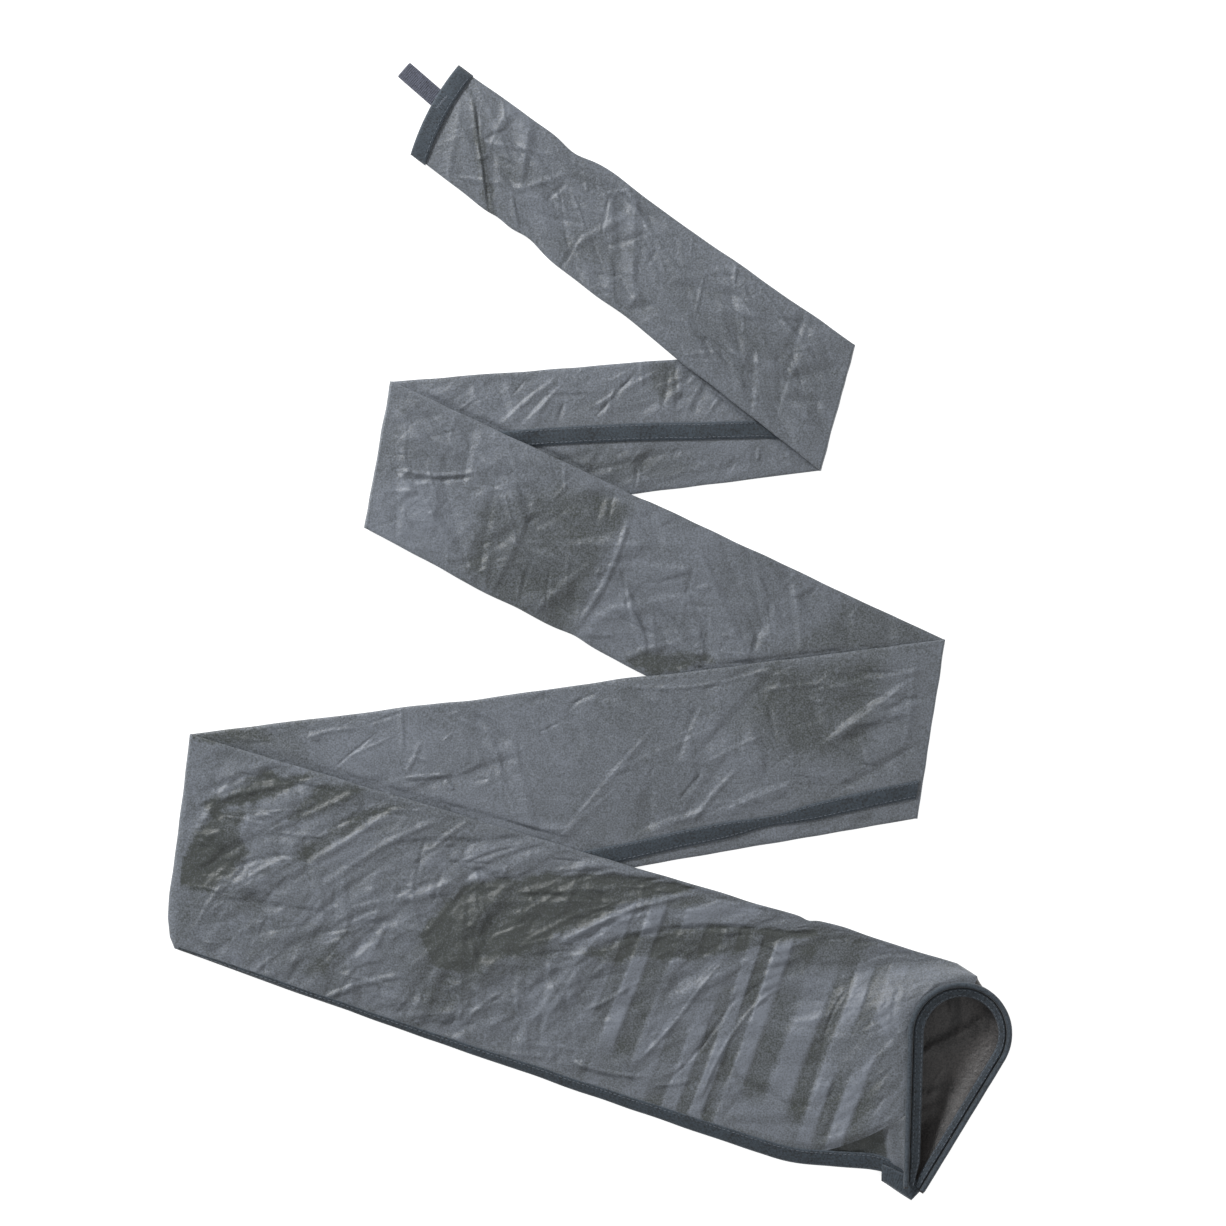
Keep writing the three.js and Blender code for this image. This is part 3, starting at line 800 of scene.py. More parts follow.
def grid_faces(rows: int, columns: int) -> Array:
    """Returns the quads of a grid of points, row by row."""
    r, c = np.meshgrid(np.arange(rows - 1), np.arange(columns - 1), indexing="ij")
    first = (r * columns + c).ravel()
    return np.stack([first, first + 1, first + columns + 1, first + columns], axis=1)


def make_piece(name: str, points: Array, faces: Array) -> bpy.types.Object:
    """Makes a smooth-shaded mesh object from points in millimetres.

    Args:
        name: The piece's name.
        points: One row for each point.
        faces: Quads or triangles, one row each.

    Returns:
        The new object, linked to the scene.
    """
    mesh = bpy.data.meshes.new(name)
    mesh.from_pydata((points.reshape(-1, 3) * MM).tolist(), [], faces.tolist())
    mesh.validate()
    mesh.update()
    mesh.polygons.foreach_set("use_smooth", [True] * len(mesh.polygons))
    piece = bpy.data.objects.new(name, mesh)
    bpy.context.scene.collection.objects.link(piece)
    return piece


def paint(piece: bpy.types.Object, name: str, values: Array) -> None:
    """Stores one number for each point of a piece."""
    attribute = piece.data.attributes.new(name, "FLOAT", "POINT")
    attribute.data.foreach_set("value", values.ravel().astype(np.float32))


def paint_weave(piece: bpy.types.Object, along: Array, across: Array, edge: Array) -> None:
    """Stores what a tape's finish needs: its two directions and its wear, which on the mouth rim also holds
    painted highlight and shade, spread over its rows and rings.
    """
    shape = np.broadcast_shapes(along.shape, across.shape, edge.shape)
    for name, values in (("along", along), ("across", across), ("edge", edge)):
        paint(piece, name, np.broadcast_to(values, shape))


def across_shares(width: float, cell: float) -> Array:
    """Returns shares across a tube, close together beside its two folded edges."""
    rim = np.array([0.0, 0.25, 0.7, 1.4, 2.4]) / width
    inner = np.linspace(rim[-1] + cell / width, 1.0 - rim[-1] - cell / width, int(width / cell))
    return np.concatenate([rim, inner, 1.0 - rim[::-1]])


def ring_faces(rows: int, around: int) -> Array:
    """Returns the quads of a tube of rings that each close on themselves."""
    r, c = np.meshgrid(np.arange(rows - 1), np.arange(around), indexing="ij")
    first, next_one = (r * around + c).ravel(), (r * around + (c + 1) % around).ravel()
    return np.stack([first, next_one, next_one + around, first + around], axis=1)


def sweep(name: str, rings: Array, closed: bool = True) -> bpy.types.Object:
    """Makes a piece from rings of points, one after another.

    Args:
        name: The piece's name.
        rings: The points, ring by ring, in millimetres.
        closed: Whether each ring closes on itself.

    Returns:
        The new object.
    """
    rows, around = rings.shape[:2]
    faces = ring_faces(rows, around) if closed else grid_faces(rows, around)
    return make_piece(name, rings, faces)


def ribbon(left: Array, right: Array, thick: float, columns: int = 8, crown: float = 0.25) -> Array:
    """Returns closed rings of a flat tape between two edge lines.

    Args:
        left: Points along one edge, at the tape's underside.
        right: Points along the other edge.
        thick: The tape's thickness.
        columns: Points across each face.
        crown: How far the upper face bulges.

    Returns:
        One ring of points for each pair of edge points.
    """
    share = np.linspace(0.0, 1.0, columns)
    flat = left[:, None] + (right - left)[:, None] * share[None, :, None]
    top, low = flat.copy(), flat.copy()
    rim = np.clip(np.minimum(share, 1.0 - share) * 8.0, 0.0, 1.0)
    top[..., 2] += thick * (0.62 + 0.38 * rim) + crown * np.sin(math.pi * share)
    low[..., 2] += thick * 0.2 * (1.0 - rim)
    return np.concatenate([top, low[:, ::-1]], axis=1)


def ribbon_shares(columns: int) -> Array:
    """Returns the shares across a ribbon of the points in one of its rings."""
    return np.concatenate([np.linspace(0, 1, columns), np.linspace(1, 0, columns)])


def worn_edges(across: Array) -> Array:
    """Returns 1 at both edges of a tape, falling to 0 just inside them."""
    return ease(1.0 - np.minimum(across, 1.0 - across) * 9.0)


@dataclass(frozen=True)
class Stitch:
    """Sizes of one lock stitch, in millimetres."""

    length: float = 2.3
    width: float = 0.5
    height: float = 0.42
    pitch: float = 3.1


def stitch_line(path: Array, stitch: Stitch) -> tuple[Array, Array]:
    """Lays stitches along a path that runs on the surface of a tape.

    Args:
        path: Points along the row of stitches.
        stitch: The sizes of a stitch.

    Returns:
        The points of all the stitches, and their faces.
    """
    steps = np.linalg.norm(np.diff(path, axis=0), axis=1)
    run = np.concatenate([[0.0], np.cumsum(steps)])
    spots = np.arange(stitch.pitch * 0.5, run[-1] - stitch.pitch * 0.4, stitch.pitch)
    stations, around = np.array([-1.0, -0.72, 0.0, 0.72, 1.0]), 6
    swell = np.array([0.05, 0.75, 1.0, 0.75, 0.05])
    points, faces = [], []
    quads = ring_faces(len(stations), around)
    angles = np.linspace(0.0, 2.0 * math.pi, around, endpoint=False)
    for order, spot in enumerate(spots):
        reach = spot + stations * stitch.length / 2.0
        line = np.stack([np.interp(reach, run, path[:, k]) for k in range(3)], axis=1)
        along = unit(line[-1] - line[0])
        side = unit(np.cross([0.0, 0.0, 1.0], along))
        up = np.cross(along, side)
        ring = np.cos(angles)[:, None] * side * stitch.width / 2
        ring = ring + np.sin(angles)[:, None] * up * stitch.height / 2
        sunk = (swell - 1.0) * stitch.height * 0.3
        shell = line[:, None] + ring[None] * swell[:, None, None]
        shell[..., 2] += sunk[:, None]
        faces.append(quads + order * shell.size // 3)
        points.append(shell.reshape(-1, 3))
    return np.concatenate(points), np.concatenate(faces)


def stitches(name: str, paths: list[Array], stitch: Stitch = Stitch()) -> bpy.types.Object:
    """Makes one piece of all the rows of stitches on a tape."""
    points, faces, count = [], [], 0
    for path in paths:
        some, quads = stitch_line(path, stitch)
        points.append(some)
        faces.append(quads + count)
        count += len(some)
    return make_piece(name, np.concatenate(points), np.concatenate(faces))


# ---- Finishes ------------------------------------------------------------------------------------

Colour = tuple[float, float, float, float]


def dyed(red: int, green: int, blue: int) -> Colour:
    """Returns a colour given in ordinary screen values as linear light."""
    parts = [c / 255.0 for c in (red, green, blue)]
    linear = [p / 12.92 if p <= 0.04045 else ((p + 0.055) / 1.055) ** 2.4 for p in parts]
    return (linear[0], linear[1], linear[2], 1.0)


class Signal:
    """A number or a colour that runs through a material's nodes."""

    def __init__(self, dye: "Dye", socket: bpy.types.NodeSocket) -> None:
        """Keeps the material under construction and the socket."""
        self.dye = dye
        self.socket = socket

    def _math(self, operation: str, first: "Signal | float", second: "Signal | float" = 0.0) -> "Signal":
        """Returns the result of one Math node."""
        return self.dye.node("ShaderNodeMath", {"operation": operation}, {0: first, 1: second})

    def __add__(self, other: "Signal | float") -> "Signal":
        """Adds."""
        return self._math("ADD", self, other)

    __radd__ = __add__

    def __sub__(self, other: "Signal | float") -> "Signal":
        """Subtracts."""
        return self._math("SUBTRACT", self, other)

    def __rsub__(self, other: float) -> "Signal":
        """Subtracts from a number."""
        return self._math("SUBTRACT", other, self)

    def __mul__(self, other: "Signal | float") -> "Signal":
        """Multiplies."""
        return self._math("MULTIPLY", self, other)

    __rmul__ = __mul__

    def wave(self, pitch: float) -> "Signal":
        """Returns a sine of the value with a given pitch."""
        return self._math("SINE", self * (2.0 * math.pi / pitch))

    def size(self) -> "Signal":
        """Returns the value without its sign."""
        return self._math("ABSOLUTE", self)


class Dye:
    """A material under construction."""

    def __init__(self, name: str) -> None:
        """Starts a material with no nodes."""
        self.material = bpy.data.materials.new(name)
        self.material.use_nodes = True
        self.tree = self.material.node_tree
        self.tree.nodes.clear()

    def node(
        self, kind: str, settings: dict | None = None, inputs: dict | None = None, output: int | str = 0
    ) -> Signal:
        """Adds a node.

        Args:
            kind: The node's type.
            settings: Its own settings, which are set first.
            inputs: Values or signals for its sockets.
            output: The output to return.

        Returns:
            The chosen output.
        """
        node = self.tree.nodes.new(kind)
        for key, value in (settings or {}).items():
            setattr(node, key, value)
        for key, value in (inputs or {}).items():
            if isinstance(value, Signal):
                self.tree.links.new(value.socket, node.inputs[key])
            else:
                node.inputs[key].default_value = value
        return Signal(self, node.outputs[output])

    def number(self, name: str) -> Signal:
        """Returns a number stored on the mesh."""
        return self.node("ShaderNodeAttribute", {"attribute_name": name}, output="Fac")

    def noise(self, scale: float, detail: float = 2.0) -> Signal:
        """Returns noise about zero, at a scale in swells for each metre."""
        place = self.node("ShaderNodeTexCoord", output="Object")
        inputs = {"Vector": place, "Scale": scale, "Detail": detail}
        return self.node("ShaderNodeTexNoise", None, inputs) - 0.5

    def blend(self, first: "Signal | Colour", second: "Signal | Colour", share: Signal) -> Signal:
        """Returns the mix of two colours."""
        settings = {"data_type": "RGBA", "clamp_factor": True}
        return self.node("ShaderNodeMix", settings, {0: share, 6: first, 7: second}, output=2)

    def close(
        self, base: Signal, roughness: "Signal | float", relief: Signal, depth: float, **fixed: float
    ) -> bpy.types.Material:
        """Ends the material in a Principled surface.

        Args:
            base: The colour.
            roughness: The roughness.
            relief: The height of the fine surface, about zero.
            depth: The height of one unit of relief, in millimetres.
            fixed: Other sockets, by name with _ for a space.

        Returns:
            The finished material.
        """
        bump = self.node("ShaderNodeBump", None, {"Height": relief, "Strength": 1.0, "Distance": depth * MM})
        inputs = {"Base Color": base, "Roughness": roughness, "Normal": bump}
        inputs.update({key.replace("_", " "): value for key, value in fixed.items()})
        surface = self.node("ShaderNodeBsdfPrincipled", None, inputs)
        end = self.tree.nodes.new("ShaderNodeOutputMaterial")
        self.tree.links.new(surface.socket, end.inputs["Surface"])
        return self.material


@dataclass(frozen=True)
class CoatedCloth:
    """Thin coated sleeve fabric: satin, a dull olive that also serves as painted shade, blended into a blue
    grey that is a painted sheen reflection.
    """

    dull: Colour = dyed(66, 70, 68)
    painted_sheen: Colour = dyed(123, 129, 139)
    lining: Colour = dyed(80, 77, 76)
    lining_shade: Colour = dyed(30, 29, 30)
    roughness: float = 0.42
    thread_pitch: float = 0.34
    weave_depth: float = 0.03

    def material(self) -> bpy.types.Material:
        """Builds the finish."""
        dye = Dye("sleeve_fabric")
        grain = dye.noise(950.0, 1.0)
        cloudy = dye.noise(45.0, 4.0)
        # Painted light and shade: the stored tone, with random grain and cloud, mixes the dull olive towards
        # the painted sheen reflection.
        tone = dye.number("tone") + grain * 1.5 + cloudy * 0.2
        outside = dye.blend(self.dull, self.painted_sheen, tone)
        # Inside the mouth the lining colours take over; the darkest, lining_shade, is painted shade in the
        # lining's creases.
        base = dye.blend(outside, dye.blend(self.lining_shade, self.lining, tone), dye.number("inside"))
        warp, weft = dye.number("along").wave(self.thread_pitch), dye.number("across").wave(self.thread_pitch)
        crinkles = dye.noise(130.0, 3.0).size() * 52.0 + dye.noise(300.0, 2.0).size() * 18.0
        strong = 0.5 + dye.noise(22.0, 1.0) * 1.6
        relief = warp * weft * 0.5 + crinkles * strong + dye.noise(420.0, 3.0) * 3.0
        rough = self.roughness + cloudy * 0.2 + grain * 0.1
        return dye.close(base, rough, relief, self.weave_depth, Specular_IOR_Level=0.5, Sheen_Weight=0.12)


@dataclass(frozen=True)
class WovenTape:
    """Ribbed binding tape and webbing."""

    name: str = "binding_tape"
    yarn: Colour = dyed(60, 71, 81)
    gap: Colour = dyed(22, 27, 32)
    wear_and_painted_light: Colour = dyed(92, 100, 110)
    rib: float = 0.9
    depth: float = 0.09
    roughness: float = 0.72

    def material(self) -> bpy.types.Material:
        """Builds the finish."""
        dye = Dye(self.name)
        grain, patchy = dye.noise(800.0, 2.0), dye.noise(110.0, 3.0)
        ribs = dye.number("along").wave(self.rib)
        cross = dye.number("across").wave(self.rib * 0.8)
        weave = ribs * 0.6 + ribs * cross * 0.4
        # The edge number lightens the tape for wear at its edges and for a painted highlight, and darkens it
        # where it is negative, as painted shade.
        edge = dye.number("edge")
        share = 0.6 + weave * 0.2 + grain * 2.6 + patchy * 0.8 + edge * 0.5
        body = dye.blend(self.gap, self.yarn, share)
        base = dye.blend(body, self.wear_and_painted_light, edge * (0.3 + grain * 1.4))
        rough = self.roughness + grain * 0.2
        return dye.close(base, rough, weave + grain * 1.5, self.depth, Sheen_Weight=0.25)


@dataclass(frozen=True)
class SewingThread:
    """Twisted polyester thread."""

    ply: Colour = dyed(40, 46, 54)
    light: Colour = dyed(122, 131, 143)

    def material(self) -> bpy.types.Material:
        """Builds the finish."""
        dye = Dye("thread")
        twist = dye.noise(2600.0, 1.0)
        base = dye.blend(self.ply, self.light, 0.5 + twist * 2.0)
        return dye.close(base, 0.55 + twist * 0.2, twist, 0.05, Sheen_Weight=0.2)


@dataclass(frozen=True)
class SpringRod:
    """Drawn plastic rod, hidden in the mouth's binding."""

    body: Colour = dyed(38, 38, 40)
    scuffed: Colour = dyed(70, 70, 72)

    def material(self) -> bpy.types.Material:
        """Builds the finish."""
        dye = Dye("hoop_rod")
        scuffs = dye.noise(600.0, 4.0)
        base = dye.blend(self.body, self.scuffed, 0.3 + scuffs)
        return dye.close(base, 0.35 + scuffs * 0.3, scuffs, 0.02, Specular_IOR_Level=0.5)


class Wardrobe:
    """The object's finishes, by the name of their material slot."""

    def __init__(self) -> None:
        """Builds every finish once."""
        webbing = WovenTape(
            "loop_webbing",
            yarn=dyed(88, 92, 107),
            gap=dyed(52, 55, 67),
            wear_and_painted_light=dyed(112, 115, 130),
            rib=1.3,
            depth=0.12,
        )
        self.materials = {
            "sleeve_fabric": CoatedCloth().material(),
            "binding_tape": WovenTape().material(),
            "loop_webbing": webbing.material(),
            "thread": SewingThread().material(),
            "hoop_rod": SpringRod().material(),
        }

    def dress(self, piece: bpy.types.Object, slot: str) -> bpy.types.Object:
        """Gives a piece its finish and names its material slot."""
        piece.data.materials.clear()
        piece.data.materials.append(self.materials[slot])
        return piece


# ---- Sections ------------------------------------------------------------------------------------


@dataclass
class SleeveSection:
    """One section of the pressed tube: a closed flat tube of cloth with open ends."""

    strip: Strip
    index: int
    drape: Drape
    cell: float = 0.85
    back_stride: int = 5
    rows: dict[str, Array] = field(default_factory=dict)

    @property
    def body(self) -> str:
        """Name of the body that the section moves with."""
        return f"section_{self.index + 1}"

    @property
    def length(self) -> float:
        """Length along the section's middle."""
        return self.strip.tube.lengths[self.index]

    @property
    def flat(self) -> tuple[float, float]:
        """Size the section was cut to before it was sewn into a tube, in metres."""
        return (2.0 * float(np.mean(self.widths(np.array([0.0, 1.0])))) * MM, self.length * MM)

    def widths(self, u: Array) -> Array:
        """Returns the flat width at shares of the length."""
        start, end = self.strip.crossings[self.index], self.strip.crossings[self.index + 1]
        return mix(np.linalg.norm(start[1] - start[0]), np.linalg.norm(end[1] - end[0]), u)

    def plan(self, u: Array, v: Array) -> Array:
        """Returns plan points at shares along and across, with the edges' nips."""
        near0, far0 = self.strip.crossings[self.index]
        near1, far1 = self.strip.crossings[self.index + 1]
        start = near0 + (far0 - near0) * v[..., None]
        end = near1 + (far1 - near1) * v[..., None]
        inset = self.strip.tube.clearance / np.linalg.norm(end - start, axis=-1)
        share = mix(inset, 1.0 - inset, u)[..., None]
        points = start + (end - start) * share
        across = unit(far0 - near0 + far1 - near1)
        return points + across * self.edge_shift(u, v)[..., None]

    def edge_shift(self, u: Array, v: Array) -> Array:
        """Returns how far points move towards the far edge because of the edges' shape."""
        calm = ease(u * 12.0) * ease((1.0 - u) * 12.0)
        seed = self.drape.seed
        near = 0.5 * calm * wavy(u * self.length, 0.0 * u, seed + 21, 26.0)
        far = 0.5 * calm * wavy(u * self.length, 0.0 * u + 9.0, seed + 22, 26.0)
        for nip in self.drape.nips:
            bump = nip.out * np.exp(-(((u - nip.at) * self.length / nip.width) ** 2))
            if nip.edge is Edge.NEAR:
                near = near - bump
            else:
                far = far + bump
        return near * (1.0 - v) ** 2 + far * v ** 2

    def relief(self, u: Array, v: Array, points: Array) -> tuple[Array, Array]:
        """Returns how far the top layer stands above its pressed height, and how light its colour is painted,
        with painted light and shade.
        """
        tube, width = self.strip.tube, self.widths(u)
        s, t = u * self.length, v * width
        relief = Relief(self.drape, self.length, float(np.mean(width)), points)
        raw = relief.height(s, t)
        tone = relief.tone(s, t, raw)
        free = 1.0 - self.strip.covered(self.index, points)
        ends = ease(s / 22.0) * ease((self.length - s) / 22.0)
        rim = ease(np.minimum(t, width - t) / 9.0)
        loft = self.drape.loft * np.sin(math.pi * v) ** 0.7 * ends
        calm = (0.25 + 0.75 * ends) * (0.3 + 0.7 * free) * (0.35 + 0.65 * rim)
        track = TRACKS[self.index]
        if track.face is Face.OVER:
            off = np.abs(t - track.across(u) * width)
            calm = calm * (0.15 + 0.85 * ease((off - 7.0) / 10.0))
        lift = raw * calm + loft * free
        lowest = -(tube.layer + 0.5)
        return np.where(free < 0.5, np.clip(lift, -0.4, 0.35), np.maximum(lift, lowest)), tone

    def top_height(self, u: Array, v: Array, points: Array) -> tuple[Array, Array]:
        """Returns the top layer's height, in millimetres, and how light its colour is painted, with painted
        light and shade.
        """
        lift, tone = self.relief(u, v, points)
        return self.strip.base(self.index, points) + self.strip.tube.pack - 0.4 + lift, tone

    def rolled(self, u: Array, v: Array, top: Array, low: Array) -> tuple[Array, Array]:
        """Returns the two layers' heights with their long edges rolled into each other."""
        t = v * self.widths(u)
        rim = np.minimum(t, self.widths(u) - t)
        turn = np.sqrt(np.clip(1.0 - (1.0 - np.clip(rim / 2.4, 0, 1)) ** 2, 0, 1))
        middle = low + 0.45 * (top - low)
        return mix(middle, top, turn), mix(middle, low, turn)

    def grid(self) -> tuple[Array, Array]:
        """Returns the shares along and across of the section's points."""
        width = float(np.max(self.widths(np.array([0.0, 1.0]))))
        us = np.linspace(0.0, 1.0, int(self.length / self.cell))
        return np.meshgrid(us, across_shares(width, self.cell), indexing="ij")

    def mark(
        self, piece: bpy.types.Object, tone: Array, u: Array, v: Array, inside: Array | float = 0.0
    ) -> None:
        """Stores what the cloth's finish needs on a piece, with the painted light and shade."""
        paint(piece, "tone", tone)
        paint(piece, "along", u * self.length)
        paint(piece, "across", v * self.widths(u))
        paint(piece, "inside", np.zeros_like(u) + inside)

    def build(self) -> bpy.types.Object:
        """Builds the section's cloth and returns it."""
        u, v = self.grid()
        points = self.plan(u, v)
        top, tone = self.top_height(u, v, points)
        low = self.strip.base(self.index, points) + 0.25
        top, low = self.rolled(u, v, top, low)
        upper = np.concatenate([points, top[..., None]], axis=-1)
        lower = np.concatenate([points, low[..., None]], axis=-1)
        self.keep_rows(v[0], upper, lower)
        back = self.back_columns(v.shape[1])[1:-1][::-1]

        def around(first: Array) -> Array:
            """Returns values of the top layer followed by the same values of the lower one."""
            return np.concatenate([first, first[:, back]], axis=1)

        piece = sweep(f"cloth_{self.index + 1}", np.concatenate([upper, lower[:, back]], axis=1))
        self.mark(piece, around(tone), around(u), around(v))
        return piece

    def back_columns(self, count: int) -> Array:
        """Returns which columns the plainer lower layer keeps: all at its edges and some between."""
        rim = 5
        inner = np.arange(rim, count - rim, self.back_stride)
        return np.concatenate([np.arange(rim), inner, np.arange(count - rim, count)])

    def keep_rows(self, shares: Array, upper: Array, lower: Array) -> None:
        """Keeps the end rows of both layers, which the creases join."""
        self.rows = {"v": shares, "top0": upper[0], "top1": upper[-1], "low0": lower[0], "low1": lower[-1]}

    def row(self, layer: str, end: int, v: Array) -> Array:
        """Returns the points of an end row at shares across."""
        row = self.rows[f"{layer}{end}"]
        return np.stack([np.interp(v, self.rows["v"], row[:, k]) for k in range(3)], axis=1)


# ---- The hoop and the mouth ----------------------------------------------------------------------


@dataclass(frozen=True)
class Hoop:
    """The springy rod's line round the mouth, from one rod end at the tip to the other."""

    strip: Strip
    radius: float = 32.5
    reach: float = 105.0
    tip_half: float = 5.2
    axis_deg: float = 73.4
    past_mouth: float = 37.0
    inset: float = 5.7
    height: float = 14.5
    tilt: float = 0.17

    @property
    def axis(self) -> Array:
        """Direction from the tip to the round part."""
        return heading(self.axis_deg)

    @property
    def side(self) -> Array:
        """Direction from the middle to the first half of the rod."""
        return left_of(self.axis)

    @property
    def tip(self) -> Array:
        """Where the two rod ends meet."""
        far = self.strip.crossings[-1][1]
        along = unit(far - self.strip.crossings[-2][1])
        return far + along * self.past_mouth + left_of(along) * self.inset

    @property
    def centre(self) -> Array:
        """Middle of the round part."""
        return self.tip + self.axis * self.reach

    def plan(self, share: Array) -> Array:
        """Returns plan points of the rod at shares of its length."""
        ratio = self.reach / self.radius
        turn = math.pi - math.acos(1.0 / ratio)
        flank = math.sqrt(self.reach ** 2 - self.radius ** 2)
        from_middle = (np.asarray(share) - 0.5) * (2.0 * flank + 2.0 * turn * self.radius)
        bend = np.abs(from_middle) / self.radius
        hand = np.where(from_middle < 0.0, 1.0, -1.0)
        left = 1.0 - (bend - turn) * self.radius / flank
        straight = bend > turn
        out_straight = mix(self.tip_half, self.radius * math.sin(turn), left)
        up_straight = mix(-self.reach, self.radius * math.cos(turn), left)
        out = np.where(straight, out_straight, self.radius * np.sin(bend))
        up = np.where(straight, up_straight, self.radius * np.cos(bend))
        return self.centre + up[..., None] * self.axis + (hand * out)[..., None] * self.side

    def rise(self, points: Array) -> Array:
        """Returns the height of the rod's centre line at plan points."""
        return self.height + self.tilt * ((points - self.centre) @ self.side)

    def room(self, points: Array) -> Array:
        """Returns how far inward a band may reach before it meets the other flank's band."""
        below = (points - self.centre) @ self.axis < 0.0
        return np.where(below, 0.94 * np.abs((points - self.centre) @ self.side) - 0.8, 50.0)

    def line(self, share: Array) -> tuple[Array, Array]:
        """Returns points of the rod in space, and the plan directions that point into the mouth."""
        points = self.plan(share)
        ahead = self.plan(np.clip(share + 1e-3, 0.0, 1.0)) - self.plan(np.clip(share - 1e-3, 0.0, 1.0))
        inward = np.stack([ahead[:, 1], -ahead[:, 0]], axis=1)
        inward /= np.linalg.norm(inward, axis=1, keepdims=True)
        return np.concatenate([points, self.rise(points)[:, None]], axis=1), inward


# Shares along the bound far edge, and how far it bows out there, in millimetres.
FAR_BOW = ((0.0, 0.33, 0.66, 0.80, 0.84, 0.89, 0.96, 1.0), (0.0, 5.6, 9.0, 10.2, 9.6, 4.4, -5.3, -3.0))

LINING = Drape(
    seed=67,
    creases=(
        Crease((0.925, 0.08), (0.935, 0.30), 3.4, 2.6, 0.8),
        Crease((0.905, 0.52), (0.985, 0.22), 4.2, 3.6, 0.8),
        Crease((0.900, 0.60), (0.980, 0.30), 3.0, -2.2),
        Crease((0.905, 0.80), (0.975, 0.62), 3.6, 2.8, 0.8),
        Crease((0.915, 0.92), (0.985, 0.70), 3.0, 1.8, 0.8),
    ),
    # Painted shade: the lining's patches darken its creases.
    patches=(
        Patch(((0.92, 0.05), (0.95, 0.05), (0.94, 0.34), (0.93, 0.34)), -0.6, 1.5),
        Patch(((0.90, 0.46), (0.985, 0.16), (0.99, 0.24), (0.90, 0.56)), -0.35, 2.5),
        Patch(((0.90, 0.76), (0.97, 0.56), (0.975, 0.62), (0.90, 0.84)), -0.3, 2.5),
    ),
    crumple=120,
    crumple_turns=(60.0, 20.0, -60.0),
    wrinkle=1.2,
    facets=1.6,
    tone=0.5,
)


